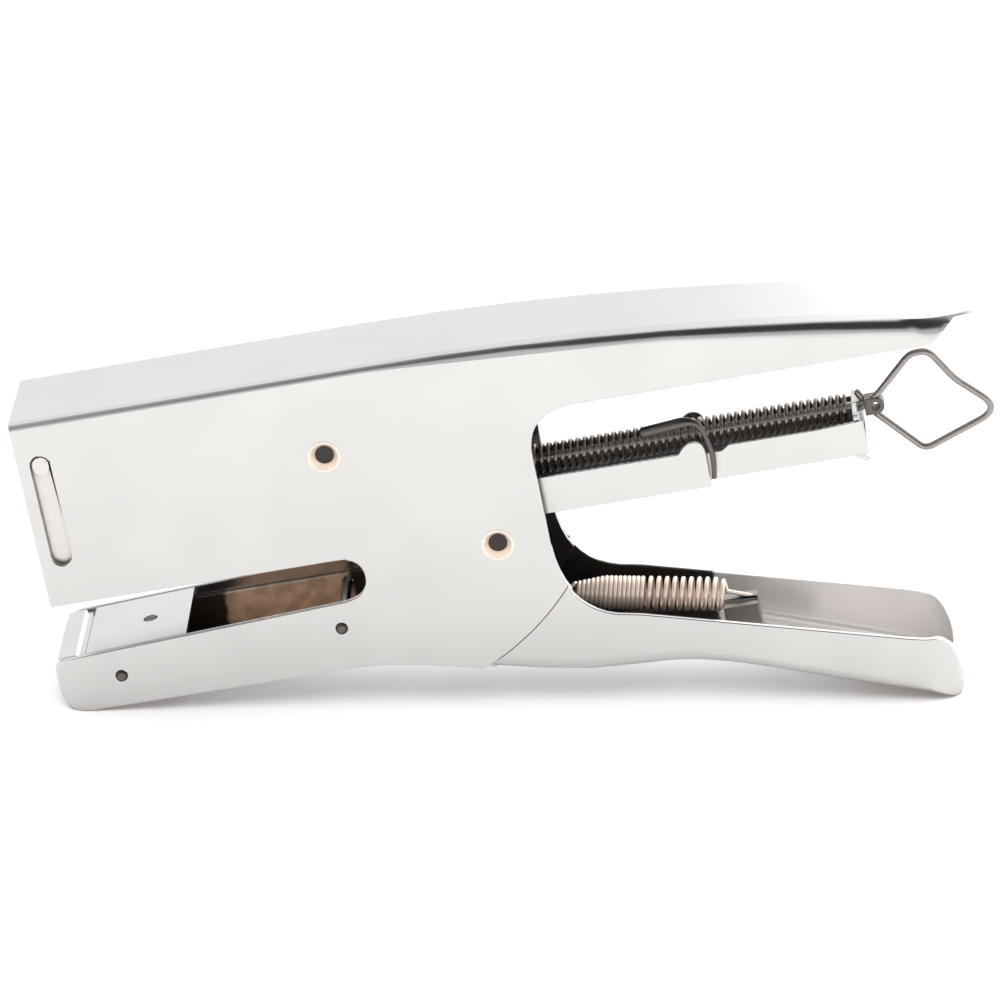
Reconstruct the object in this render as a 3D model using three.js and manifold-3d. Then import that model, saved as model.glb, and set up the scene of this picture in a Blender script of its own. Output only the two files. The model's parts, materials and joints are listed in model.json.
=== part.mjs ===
// All-metal plier stapler: a folded sheet head with a fixed jaw, a lower squeeze lever, a tilting magazine
// with a pull-out drawer, and a hammer that drives the staple down on the anvil.
//
// Working frame: x runs from the front of the head to the tail, z is up from the magazine's underside, y is
// across the tool. Everything is modelled with the magazine level, then the whole tool is turned so that it
// stands on the jaw and on the tip of the lower handle. Sizes are in millimetres.

import * as THREE from "three";
import { mergeVertices } from "three/addons/utils/BufferGeometryUtils.js";
import Module from "manifold-3d";

const wasm = await Module();
wasm.setup();

// ---- driving sizes -------------------------------------------------------------------------------------

const toolLength = 163; // front of the head to the end of the upper handle
const headHeight = 34; // bottom edge of the head to the top strip
const sheet = 1; // thickness of the folded body and of the lever
const handleDrop = 9.4; // how far the upper handle falls towards its end
const handleDepth = 13; // depth of the upper handle's cheeks where they leave the head
const throatDepth = 54; // front of the head to the blind end of the throat
const throatGap = 9; // opening of the mouth, head to jaw, near its middle
const jawDepth = 11; // height of the jaw's side walls
const magazineWidth = 14.4;
const magazineHeight = 6.7;
const magazineSheet = 0.6;
const stapleWire = 0.5;
const stapleLeg = 5.4;
const wireRadius = 0.6; // pull ring and its hinge
const springWire = 0.4; // radius of the spring wire

// ---- clearances ----------------------------------------------------------------------------------------

const seatGap = 0.15; // between a fixed piece and the piece that it sits on
const slideGap = 0.3; // on each side of a sliding piece
const runGap = 0.08; // radial, pin in a bore
const seamGap = 0.15; // between the body's edge and the lever's outer skin
const clinchRoom = 1.4; // left under the driver blade at the end of its stroke
const armRoom = 1.8; // both gaps together, cheek to lever arm and lever arm to magazine

// ---- sizes that follow from them -----------------------------------------------------------------------

const bodyWidth = magazineWidth + 2 * (2 * sheet + armRoom);
const halfBody = bodyWidth / 2;
const halfInside = halfBody - sheet;
const armOuter = halfInside - slideGap / 1.5;
const armInner = armOuter - sheet;
const halfMagazine = magazineWidth / 2;
const headBottom = -0.7;
const headTop = headBottom + headHeight;
const ceiling = headTop - sheet;

const pinRadius = 2.4;
const boreRadius = pinRadius + runGap;
const throatEndRadius = 3.9;
const leverPivot = new THREE.Vector2(throatDepth - 2.5, headBottom + 0.56 * headHeight);
const magazinePivot = new THREE.Vector2(leverPivot.x + 25.8, -pinRadius - 0.2);
const cheekRear = magazinePivot.x + 8.8;

const jawTopRear = headBottom - throatGap + 1.4;
const jawSlope = 0.045;
const jawBottom = headBottom - throatGap - jawDepth - 0.2;
const noseFront = -2.5;
const noseRadius = 4;
const anvilThickness = 1.2;
const mouthFloor = (x) => jawTopRear - jawSlope * (throatDepth - x);

const bladeFront = 2.7;
const bladeThickness = 0.6;
const anvilFace = mouthFloor(bladeFront) - 0.1;
const noseDrop = -anvilFace - 2.2;
const magazineTravel = Math.asin(noseDrop / (magazinePivot.x - bladeFront));
const bladeTip = magazineHeight + 0.4;
const stroke = bladeTip - anvilFace - clinchRoom;

const hammerPinRadius = 1.6;
const hammerPin = new THREE.Vector2(10, leverPivot.y + stroke / 2);
const frontArm = leverPivot.x - hammerPin.x;
const leverTravel = 2 * Math.atan(stroke / 2 / frontArm);

// The lever's skin meets the body's edge on a circle round the lever's pivot, so the seam stays even.
const seamRadius = leverPivot.y - jawBottom + 8.16;

// ---- materials -----------------------------------------------------------------------------------------

const metal = (color, roughness) =>
  new THREE.MeshStandardMaterial({ color, metalness: 1, roughness });
const plated = () => metal(0xdedcd9, 0.18);
const inside = () => metal(0xa89a8c, 0.35);
const steel = () => metal(0x8f8d8a, 0.3);
const springSteel = () => metal(0x4a4542, 0.35);
const brass = () => metal(0xb08d5b, 0.3);

// ---- building helpers ----------------------------------------------------------------------------------

const tool = new THREE.Group();

/** Turns a closed geometry into a solid for boolean work. */
function solid(geometry) {
  const bare = new THREE.BufferGeometry();
  bare.setAttribute("position", geometry.getAttribute("position"));
  bare.setIndex(geometry.index);
  const merged = mergeVertices(bare, 1e-4);
  const mesh = new wasm.Mesh({
    numProp: 3,
    vertProperties: merged.attributes.position.array,
    triVerts: new Uint32Array(merged.index.array),
  });
  return new wasm.Manifold(mesh);
}

/** Adds a solid to the tool as one named mesh. */
function add(name, body, material) {
  const mesh = body.getMesh();
  const positions = new Float32Array(mesh.numVert * 3);
  for (let i = 0; i < mesh.numVert; i += 1) {
    for (let k = 0; k < 3; k += 1) {
      positions[i * 3 + k] = mesh.vertProperties[i * mesh.numProp + k];
    }
  }
  const geometry = new THREE.BufferGeometry();
  geometry.setAttribute("position", new THREE.BufferAttribute(positions, 3));
  geometry.setIndex(new THREE.BufferAttribute(mesh.triVerts, 1));
  geometry.computeVertexNormals();
  const piece = new THREE.Mesh(geometry, material);
  piece.name = name;
  tool.add(piece);
  return body;
}

/** Side outline (x, z) extruded across the tool from y0 to y1. */
function sidePrism(outline, y0, y1, curveSegments = 8) {
  const geometry = new THREE.ExtrudeGeometry(outline, {
    depth: y1 - y0,
    bevelEnabled: false,
    curveSegments,
  });
  geometry.rotateX(Math.PI / 2);
  geometry.translate(0, y1, 0);
  return solid(geometry);
}

/** Plan outline (x, y) extruded upwards from z0 to z1. */
function planPrism(outline, z0, z1, curveSegments = 6) {
  const geometry = new THREE.ExtrudeGeometry(outline, {
    depth: z1 - z0,
    bevelEnabled: false,
    curveSegments,
  });
  geometry.translate(0, 0, z0);
  return solid(geometry);
}

/** Cross outline (y, z) extruded along the tool from x0 to x1. */
function crossPrism(outline, x0, x1, curveSegments = 6) {
  const geometry = new THREE.ExtrudeGeometry(outline, {
    depth: x1 - x0,
    bevelEnabled: false,
    curveSegments,
  });
  geometry.rotateX(Math.PI / 2);
  geometry.rotateZ(Math.PI / 2);
  geometry.translate(x0, 0, 0);
  return solid(geometry);
}

function block(x0, x1, y0, y1, z0, z1) {
  const geometry = new THREE.BoxGeometry(x1 - x0, y1 - y0, z1 - z0);
  geometry.translate((x0 + x1) / 2, (y0 + y1) / 2, (z0 + z1) / 2);
  return solid(geometry);
}

/** Round bar across the tool. */
function crossBar(centre, radius, y0, y1, segments = 28) {
  const geometry = new THREE.CylinderGeometry(radius, radius, y1 - y0, segments);
  geometry.translate(centre.x, (y0 + y1) / 2, centre.y);
  return solid(geometry);
}

/** Round bar along the tool. */
function longBar(x0, x1, y, z, radius, segments = 16) {
  const geometry = new THREE.CylinderGeometry(radius, radius, x1 - x0, segments);
  geometry.rotateZ(-Math.PI / 2);
  geometry.translate((x0 + x1) / 2, y, z);
  return solid(geometry);
}

/** Closed solid through rings of points that all have the same count; each ring is convex. */
function loft(rings) {
  const count = rings[0].length;
  const positions = [];
  const indices = [];
  for (const ring of rings) {
    for (const p of ring) {
      positions.push(p.x, p.y, p.z);
    }
  }
  for (let r = 0; r + 1 < rings.length; r += 1) {
    for (let i = 0; i < count; i += 1) {
      const a = r * count + i;
      const b = r * count + ((i + 1) % count);
      indices.push(a, b, a + count);
      indices.push(b, b + count, a + count);
    }
  }
  const last = (rings.length - 1) * count;
  for (let i = 1; i + 1 < count; i += 1) {
    indices.push(0, i + 1, i);
    indices.push(last, last + i, last + i + 1);
  }
  const geometry = new THREE.BufferGeometry();
  geometry.setAttribute("position", new THREE.Float32BufferAttribute(positions, 3));
  geometry.setIndex(indices);
  return solid(geometry);
}

/**
 * Ring across the tool at x: flat at edge with rounded corners, open side far away at far.
 * The flat lies above the far side for the body and below it for the lever.
 */
function foldRing(x, half, edge, far, radius, steps = 5) {
  const sign = Math.sign(edge - far);
  const ring = [new THREE.Vector3(x, -half, far)];
  for (let i = 0; i <= steps; i += 1) {
    const a = (i / steps) * (Math.PI / 2);
    const y = -half + radius * (1 - Math.cos(a));
    ring.push(new THREE.Vector3(x, y, edge - sign * radius * (1 - Math.sin(a))));
  }
  for (let i = steps; i >= 0; i -= 1) {
    const a = (i / steps) * (Math.PI / 2);
    const y = half - radius * (1 - Math.cos(a));
    ring.push(new THREE.Vector3(x, y, edge - sign * radius * (1 - Math.sin(a))));
  }
  ring.push(new THREE.Vector3(x, half, far));
  return sign > 0 ? ring.reverse() : ring;
}

/** Solid bar of round section along a curve. */
function wire(curve, radius, steps, sides) {
  const section = new THREE.Shape();
  for (let i = 0; i < sides; i += 1) {
    const a = (2 * Math.PI * i) / sides;
    const x = radius * Math.cos(a);
    const y = radius * Math.sin(a);
    if (i === 0) {
      section.moveTo(x, y);
    } else {
      section.lineTo(x, y);
    }
  }
  return solid(new THREE.ExtrudeGeometry(section, { steps, extrudePath: curve }));
}

/** Helix from one point to another in the plane y = 0. */
class Coil extends THREE.Curve {
  constructor(from, to, radius, turns) {
    super();
    this.from = from;
    this.axis = new THREE.Vector3().subVectors(to, from);
    this.side = new THREE.Vector3(0, 1, 0);
    this.up = new THREE.Vector3().crossVectors(this.axis, this.side).normalize();
    this.radius = radius;
    this.turns = turns;
  }

  getPoint(t, target = new THREE.Vector3()) {
    const a = 2 * Math.PI * this.turns * t;
    target.copy(this.from).addScaledVector(this.axis, t);
    target.addScaledVector(this.side, this.radius * Math.sin(a));
    return target.addScaledVector(this.up, this.radius * Math.cos(a));
  }
}

/** Polar point round the lever's pivot, angle in radians above the tail direction. */
function aroundPivot(radius, angle) {
  const x = leverPivot.x + radius * Math.cos(angle);
  return new THREE.Vector2(x, leverPivot.y + radius * Math.sin(angle));
}

function bothSides(make) {
  return make(1).add(make(-1));
}

function onSide(side, inner, outer) {
  return side > 0 ? [inner, outer] : [-outer, -inner];
}

// ---- the two long curves of the silhouette --------------------------------------------------------------

const crownStart = 0.375 * toolLength;
const topCurve = new THREE.CubicBezierCurve(
  new THREE.Vector2(crownStart, headTop),
  new THREE.Vector2(crownStart + 0.33 * (toolLength - crownStart), headTop),
  new THREE.Vector2(crownStart + 0.66 * (toolLength - crownStart), headTop - 0.34 * handleDrop),
  new THREE.Vector2(toolLength, headTop - handleDrop),
);

// The top strip runs on as a short tongue behind the end of the handle's cheeks.
const tongueLength = 3.4;
const tongueCorner = 3;
const cheekEnd = toolLength - tongueLength;
const tip = new THREE.Vector2(toolLength - 13, jawBottom - 24.3);
const bellyStart = new THREE.Vector2(throatDepth - 6, jawBottom);
const bellyLow = new THREE.Vector2(cheekRear + 12, jawBottom - 8.6);
const bellyCurve = new THREE.CubicBezierCurve(
  bellyStart,
  new THREE.Vector2(bellyStart.x + 15, jawBottom),
  new THREE.Vector2(bellyLow.x - 18, bellyLow.y),
  bellyLow,
);
const gripCurve = new THREE.CubicBezierCurve(
  bellyLow,
  new THREE.Vector2(bellyLow.x + 13, bellyLow.y),
  new THREE.Vector2(tip.x - 32, tip.y + 11),
  tip,
);

// Where the seam circle meets the belly.
const bellyPoints = bellyCurve.getPoints(60);
const seamLow = bellyPoints.find((p) => p.distanceTo(leverPivot) > seamRadius);
const seamLowAngle = Math.atan2(seamLow.y - leverPivot.y, seamLow.x - leverPivot.x);

const crotchTop = new THREE.Vector2(cheekRear, headBottom - 4.3);
const crotchLow = new THREE.Vector2(cheekRear + 11, jawBottom + 1.7);
const crotchCurve = new THREE.QuadraticBezierCurve(
  crotchTop,
  new THREE.Vector2(cheekRear + 0.6, jawBottom + 3.2),
  crotchLow,
);
const crotchPoints = crotchCurve.getPoints(10);
const insideSeam = (p) => p.distanceTo(leverPivot) < seamRadius;
const tipTop = new THREE.Vector2(tip.x - 3.4, tip.y + 12.2);

// ---- body shell ----------------------------------------------------------------------------------------

const handleUnder = headTop - handleDepth;

/** Outline of the cheeks; the top is left high and is trimmed by the folded top strip. */
function cheekOutline() {
  const above = headTop + 5;
  const s = new THREE.Shape();
  s.moveTo(0, headBottom);
  s.lineTo(0, above);
  s.lineTo(toolLength, above);
  s.lineTo(toolLength, headTop - handleDrop - sheet - 0.3);
  s.lineTo(cheekEnd, headTop - handleDrop - sheet + 0.4);
  s.lineTo(cheekEnd - 4.4, handleUnder);
  s.lineTo(cheekRear + 9, handleUnder);
  s.quadraticCurveTo(cheekRear, handleUnder, cheekRear, handleUnder - 8);
  s.lineTo(crotchTop.x, crotchTop.y);
  for (const p of crotchPoints.filter(insideSeam)) {
    s.lineTo(p.x, p.y);
  }
  const edge = crotchPoints.filter(insideSeam).at(-1);
  const start = Math.atan2(edge.y - leverPivot.y, edge.x - leverPivot.x);
  s.absarc(leverPivot.x, leverPivot.y, seamRadius - seamGap, start, seamLowAngle, true);
  for (const p of bellyPoints.filter((q) => q.distanceTo(leverPivot) < seamRadius - seamGap).reverse()) {
    s.lineTo(p.x, p.y);
  }
  s.lineTo(noseFront + 1.4 * noseRadius, jawBottom);
  s.quadraticCurveTo(noseFront, jawBottom, noseFront, jawBottom + 1.4 * noseRadius);
  s.quadraticCurveTo(noseFront, mouthFloor(0), 1.6, mouthFloor(0));
  const end = throatDepth - throatEndRadius;
  s.lineTo(end - 1, mouthFloor(end - 1));
  s.quadraticCurveTo(throatDepth, jawTopRear, throatDepth, (headBottom + jawTopRear) / 2);
  s.quadraticCurveTo(throatDepth, headBottom, end - 1, headBottom);
  s.lineTo(0, headBottom);
  return s;
}

/** Side outline of the hollow inside the body; the jaw keeps a floor and a nose of one sheet. */
function hollowOutline() {
  const s = new THREE.Shape();
  const floor = jawBottom + sheet;
  s.moveTo(-8, headTop + 8);
  s.lineTo(toolLength + 8, headTop + 8);
  s.lineTo(toolLength + 8, jawBottom - 30);
  s.lineTo(seamLow.x + 12, jawBottom - 30);
  const inner = bellyPoints.filter((q) => q.distanceTo(leverPivot) < seamRadius + 3).reverse();
  for (const p of inner) {
    s.lineTo(p.x, p.y + sheet);
  }
  s.lineTo(noseFront + 1.4 * noseRadius, floor);
  s.quadraticCurveTo(noseFront + sheet, floor, noseFront + sheet, floor + 1.4 * noseRadius - sheet);
  s.lineTo(noseFront + sheet, headBottom - 2);
  s.lineTo(-8, headBottom - 2);
  return s;
}

/** Plan outline of the jaw with rounded front corners, drawn in by inset. */
function jawPlan(inset) {
  const half = halfBody - inset;
  const front = noseFront + inset;
  const r = 5 - inset;
  const s = new THREE.Shape();
  s.moveTo(front, -half + r);
  s.quadraticCurveTo(front, -half, front + r, -half);
  s.lineTo(toolLength, -half);
  s.lineTo(toolLength, half);
  s.lineTo(front + r, half);
  s.quadraticCurveTo(front, half, front, half - r);
  return s;
}

/** Plan outline of the upper handle with rounded corners at its end. */
function handlePlan() {
  const half = halfBody + 1;
  const r = tongueCorner + 1;
  const s = new THREE.Shape();
  s.moveTo(-toolLength, -half);
  s.lineTo(toolLength - r, -half);
  s.quadraticCurveTo(toolLength, -half, toolLength, -half + r);
  s.lineTo(toolLength, half - r);
  s.quadraticCurveTo(toolLength, half, toolLength - r, half);
  s.lineTo(-toolLength, half);
  return s;
}

/** Folded strip along the top: half width and level come in by inset, the folds grow rounder to the tail. */
function topStrip(inset, x0, x1) {
  const half = halfBody - inset;
  const far = jawBottom - 40;
  const fold = (x) => 1.5 + 2.4 * Math.max(0, (x - crownStart) / (toolLength - crownStart));
  const rings = [];
  const ring = (x, z) => foldRing(x, half, z - inset, far, Math.max(fold(x) - inset, 0.4));
  rings.push(ring(x0, headTop));
  for (const p of topCurve.getPoints(8)) {
    rings.push(ring(p.x, p.y));
  }
  rings.push(ring(x1, headTop - handleDrop - (x1 - toolLength) * 0.17));
  return loft(rings);
}

function slotShape(x0, x1, z0, z1) {
  const r = (x1 - x0) / 2;
  const s = new THREE.Shape();
  s.moveTo(x0, z0 + r);
  s.lineTo(x0, z1 - r);
  s.absarc(x0 + r, z1 - r, r, Math.PI, 0, true);
  s.lineTo(x1, z0 + r);
  s.absarc(x0 + r, z0 + r, r, 0, -Math.PI, true);
  return s;
}

const slotFront = 2.2;
const slotRear = 5.7;
const slotBottom = hammerPin.y - stroke - 3.6;
const slotTop = slotBottom + stroke + 4;

const jawRivets = [
  new THREE.Vector2(9.3, jawBottom + 5.6),
  new THREE.Vector2(throatDepth - 5.8, jawBottom + 7.7),
];
const rivetRadius = 0.9;

function bodyShell() {
  const wide = halfBody + 1;
  let shell = sidePrism(cheekOutline(), -wide, wide, 10).intersect(topStrip(0, -10, toolLength + 10));
  shell = shell.intersect(planPrism(handlePlan(), jawBottom - 40, headTop + 10));
  const belowMouth = block(noseFront - 5, 20, -wide, wide, jawBottom - 5, headBottom - 2);
  shell = shell.subtract(belowMouth.subtract(planPrism(jawPlan(0), jawBottom - 6, headBottom)));
  let hollow = sidePrism(hollowOutline(), -wide, wide).intersect(topStrip(sheet, -12, toolLength + 12));
  hollow = hollow.subtract(belowMouth.subtract(planPrism(jawPlan(sheet), jawBottom - 6, headBottom)));
  shell = shell.subtract(hollow);
  shell = shell.subtract(sidePrism(slotShape(slotFront, slotRear, slotBottom, slotTop), -wide, wide, 4));
  for (const pivot of [leverPivot, magazinePivot]) {
    shell = shell.subtract(crossBar(pivot, boreRadius, -wide, wide));
  }
  for (const rivet of jawRivets) {
    shell = shell.subtract(crossBar(rivet, rivetRadius + runGap, -wide, wide, 14));
  }
  return shell;
}

add("body_shell", bodyShell(), plated());

// Front closing plate between the cheeks.
const noseInside = halfInside - seatGap;
add(
  "nose_guide",
  block(0.1, 0.9, -noseInside, noseInside, headBottom + 1, ceiling - seatGap),
  plated(),
);

// ---- jaw: liner, anvil, rivets -------------------------------------------------------------------------

const linerHalf = halfInside - seatGap;
const linerFront = 3;
const linerRear = throatDepth + 4;
const linerFloor = jawBottom + sheet + seatGap;
const anvilFrontX = 0.6;
const anvilLength = 21;
const anvilTop = (x) => mouthFloor(x) - 0.1;
const tongueHalf = 2.6;
const springFront = new THREE.Vector3(cheekRear - 8.5, 0, jawBottom + 4.4);

/** Channel in the jaw that carries the anvil; a tongue runs back from it to hold the return spring. */
function jawLiner() {
  const side = new THREE.Shape();
  side.moveTo(linerFront, linerFloor);
  side.lineTo(linerRear, linerFloor);
  side.lineTo(linerRear, mouthFloor(linerRear) - 3.5);
  side.lineTo(anvilFrontX + anvilLength + 2, anvilTop(anvilLength) - anvilThickness - seatGap - 0.4);
  side.lineTo(linerFront, anvilTop(linerFront) - anvilThickness - seatGap - 0.3);
  const wall = 0.9;
  let liner = sidePrism(side, -linerHalf, linerHalf);
  const top = headBottom;
  liner = liner.subtract(
    block(linerFront - 1, linerRear + 1, wall - linerHalf, linerHalf - wall, linerFloor + wall, top),
  );
  const tongue = new THREE.Shape();
  const hook = springFront.x + 1.2;
  tongue.moveTo(linerRear - 2, linerFloor);
  tongue.lineTo(linerRear + 6, linerFloor);
  tongue.lineTo(hook, springFront.z - 2.6);
  tongue.lineTo(hook, springFront.z + 1.8);
  tongue.lineTo(hook - 1, springFront.z + 1.8);
  tongue.lineTo(hook - 1, springFront.z - 1.7);
  tongue.lineTo(linerRear + 6, linerFloor + wall);
  tongue.lineTo(linerRear - 2, linerFloor + wall);
  liner = liner.add(sidePrism(tongue, -tongueHalf, tongueHalf));
  for (const rivet of jawRivets) {
    liner = liner.subtract(crossBar(rivet, rivetRadius + runGap, -halfBody, halfBody, 14));
  }
  return liner.subtract(longBar(hook - 3, hook + 3, 0, springFront.z, springWire + 0.45, 12));
}

add("jaw_liner", jawLiner(), inside());

function anvilPlate() {
  const end = anvilFrontX + anvilLength;
  const groove = bladeFront + bladeThickness / 2;
  const s = new THREE.Shape();
  s.moveTo(anvilFrontX, anvilTop(anvilFrontX) - anvilThickness);
  s.lineTo(end, anvilTop(end) - anvilThickness);
  s.lineTo(end, anvilTop(end));
  s.lineTo(groove + 1, anvilTop(groove));
  s.lineTo(groove + 0.4, anvilTop(groove) - 0.5);
  s.lineTo(groove - 0.4, anvilTop(groove) - 0.5);
  s.lineTo(groove - 1, anvilTop(groove));
  s.lineTo(anvilFrontX, anvilTop(anvilFrontX));
  const half = halfInside - seatGap;
  const clipped = planPrism(jawPlan(sheet + seatGap), jawBottom, 0);
  return sidePrism(s, -half, half).intersect(clipped);
}

// Sunk screw that holds the anvil; its head stays below the face that the paper lies on.
const screwX = 14.5;
const screwHead = 1.1;
const screwShank = 0.65;
const screwSink = 0.1;
const screwHeadDepth = 0.55;
const screwFace = anvilTop(screwX);
const screwBore = (radius, depth) => {
  const geometry = new THREE.CylinderGeometry(radius, radius, depth + 2, 16);
  geometry.rotateX(Math.PI / 2);
  geometry.translate(screwX, 0, screwFace - depth / 2 + 1);
  return solid(geometry);
};
const headBore = screwBore(screwHead + seatGap, screwSink + screwHeadDepth + seatGap);
const shankBore = screwBore(screwShank + seatGap, 8);
add("anvil_plate", anvilPlate().subtract(headBore).subtract(shankBore), plated());

function anvilScrew() {
  const under = -screwSink - screwHeadDepth;
  const profile = [
    new THREE.Vector2(0, -4),
    new THREE.Vector2(screwShank, -4),
    new THREE.Vector2(screwShank, under),
    new THREE.Vector2(screwHead, under),
    new THREE.Vector2(screwHead, -screwSink - 0.1),
    new THREE.Vector2(screwHead - 0.1, -screwSink),
    new THREE.Vector2(0, -screwSink),
  ];
  const geometry = new THREE.LatheGeometry(profile, 16);
  geometry.rotateX(Math.PI / 2);
  geometry.translate(screwX, 0, screwFace);
  const cut = block(screwX - 2, screwX + 2, -0.15, 0.15, screwFace - screwSink - 0.3, screwFace + 2);
  return solid(geometry).subtract(cut);
}

add("anvil_screw", anvilScrew(), steel());

/** Through rivet with a low head outside each cheek. */
function throughRivet(centre, shank, head, reach, rise) {
  let rivet = crossBar(centre, shank, -reach, reach, 14);
  rivet = rivet.add(crossBar(centre, head, halfBody + seatGap / 3, halfBody + rise, 16));
  return rivet.add(crossBar(centre, head, -halfBody - rise, -halfBody - seatGap / 3, 16));
}

jawRivets.forEach((centre, i) => {
  const rivet = throughRivet(centre, rivetRadius, rivetRadius + 0.1, halfBody + 0.1, 0.2);
  add(i === 0 ? "jaw_rivet_front" : "jaw_rivet_rear", rivet, steel());
});

// ---- pivots --------------------------------------------------------------------------------------------

const cupRadius = 1.9;
const cupDepth = 1.8;
const flangeRadius = pinRadius + 0.5;

/** Tubular rivet with a cupped, rolled-over lip at each cheek. */
function cuppedPin(centre) {
  const rise = 0.4;
  let pin = crossBar(centre, pinRadius, -halfBody - 0.1, halfBody + 0.1);
  for (const side of [1, -1]) {
    const [a, b] = onSide(side, halfBody + seatGap / 3, halfBody + rise);
    pin = pin.add(crossBar(centre, flangeRadius, a, b));
    const [c, d] = onSide(side, halfBody + rise - cupDepth, halfBody + 2);
    pin = pin.subtract(crossBar(centre, cupRadius, c, d));
  }
  return pin;
}

add("lever_pin", cuppedPin(leverPivot), brass());
add("magazine_pin", cuppedPin(magazinePivot), brass());

/** Spacer tube on a pivot pin. */
function tube(centre, inner, outer, y0, y1) {
  return crossBar(centre, outer, y0, y1).subtract(crossBar(centre, inner, y0 - 1, y1 + 1));
}

const bushOuter = pinRadius + 0.8;
const armSpan = armInner - slideGap;
add("lever_bush", tube(leverPivot, boreRadius, bushOuter + 0.4, -armSpan, armSpan), steel());
const bushFrom = halfMagazine + slideGap / 2;
const bushTo = halfInside - seatGap;
add("magazine_bush_near", tube(magazinePivot, boreRadius, bushOuter, -bushTo, -bushFrom), steel());
add("magazine_bush_far", tube(magazinePivot, boreRadius, bushOuter, bushFrom, bushTo), steel());

// ---- lower lever ---------------------------------------------------------------------------------------

const pivotReach = magazinePivot.distanceTo(leverPivot);
const pivotAngle = Math.atan2(magazinePivot.y - leverPivot.y, magazinePivot.x - leverPivot.x);
const clipFoot = cheekRear + 30.9;
const armEye = hammerPinRadius + 1.4;
const eyeReach = frontArm / Math.cos(leverTravel / 2);
const eyeAngle = Math.PI - leverTravel / 2;

/** Side outline of the whole lever: front arm, waist round the pivots, and the handle below. */
function leverOutline() {
  const eye = aroundPivot(eyeReach - 0.35, eyeAngle);
  const s = new THREE.Shape();
  s.absarc(eye.x, eye.y, armEye + 0.4, eyeAngle - Math.PI / 2 + 0.05, eyeAngle - 1.5 * Math.PI, false);
  const belly = bellyPoints.filter((p) => p.distanceTo(leverPivot) > seamRadius - 4);
  s.lineTo(leverPivot.x - 6.5, leverPivot.y - 4.5);
  s.quadraticCurveTo(leverPivot.x + 4, leverPivot.y - 16, leverPivot.x + 9, leverPivot.y - 28);
  for (const p of belly) {
    s.lineTo(p.x, p.y);
  }
  for (const p of gripCurve.getPoints(10)) {
    s.lineTo(p.x, p.y);
  }
  s.quadraticCurveTo(tip.x + 1.2, tip.y + 0.2, tip.x + 1, tip.y + 2);
  s.quadraticCurveTo(tip.x + 0.4, tipTop.y, tipTop.x, tipTop.y);
  s.lineTo(crotchLow.x + 2, crotchLow.y - 0.4);
  for (const p of [...crotchPoints].reverse()) {
    s.lineTo(p.x - 0.02, p.y);
  }
  s.lineTo(cheekRear - 1.2, crotchTop.y + 4);
  s.quadraticCurveTo(cheekRear - 3, leverPivot.y - 8, leverPivot.x + 7, leverPivot.y + 5.5);
  s.quadraticCurveTo(leverPivot.x, leverPivot.y + 9, leverPivot.x - 7, leverPivot.y + 6.4);
  return s;
}

/** Side outline of the body's floor under the belly with the room that the lever's arms leave above it. */
function floorOutline() {
  const s = new THREE.Shape();
  s.moveTo(bellyStart.x, jawBottom - 20);
  for (const p of bellyPoints) {
    s.lineTo(p.x, p.y + sheet + slideGap);
  }
  s.lineTo(bellyLow.x, jawBottom - 20);
  return s;
}

/** Round-ended arc slot round the lever's pivot that lets a fixed pin pass while the lever turns. */
function arcSlot(radius, half, from, to) {
  const s = new THREE.Shape();
  s.absarc(leverPivot.x, leverPivot.y, radius + half, from, to, false);
  const end = aroundPivot(radius, to);
  s.absarc(end.x, end.y, half, to, to + Math.PI, false);
  s.absarc(leverPivot.x, leverPivot.y, radius - half, to, from, true);
  const start = aroundPivot(radius, from);
  s.absarc(start.x, start.y, half, from + Math.PI, from + 2 * Math.PI, false);
  return s;
}

/** Solid between two folds: everything above the underside of belly and grip, drawn in by inset. */
function gripFold(inset) {
  const half = halfBody - inset;
  const far = headTop + 20;
  const rings = [];
  const ring = (x, z) => foldRing(x, half, z + inset, far, 2.6 - inset);
  rings.push(ring(-20, jawBottom));
  for (const p of bellyCurve.getPoints(6)) {
    rings.push(ring(p.x, p.y));
  }
  for (const p of gripCurve.getPoints(8).slice(1)) {
    rings.push(ring(p.x, p.y));
  }
  rings.push(ring(toolLength + 20, tip.y - 12));
  return loft(rings);
}

/** Plan outline of the handle with a rounded end, drawn in by inset. */
function gripPlan(inset) {
  const half = halfBody - inset;
  const end = tip.x + 1.2 - inset;
  const r = 8.5 - inset;
  const s = new THREE.Shape();
  s.moveTo(-20, -half);
  s.lineTo(end - r, -half);
  s.quadraticCurveTo(end, -half, end, -half + r);
  s.lineTo(end, half - r);
  s.quadraticCurveTo(end, half, end - r, half);
  s.lineTo(-20, half);
  return s;
}

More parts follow.
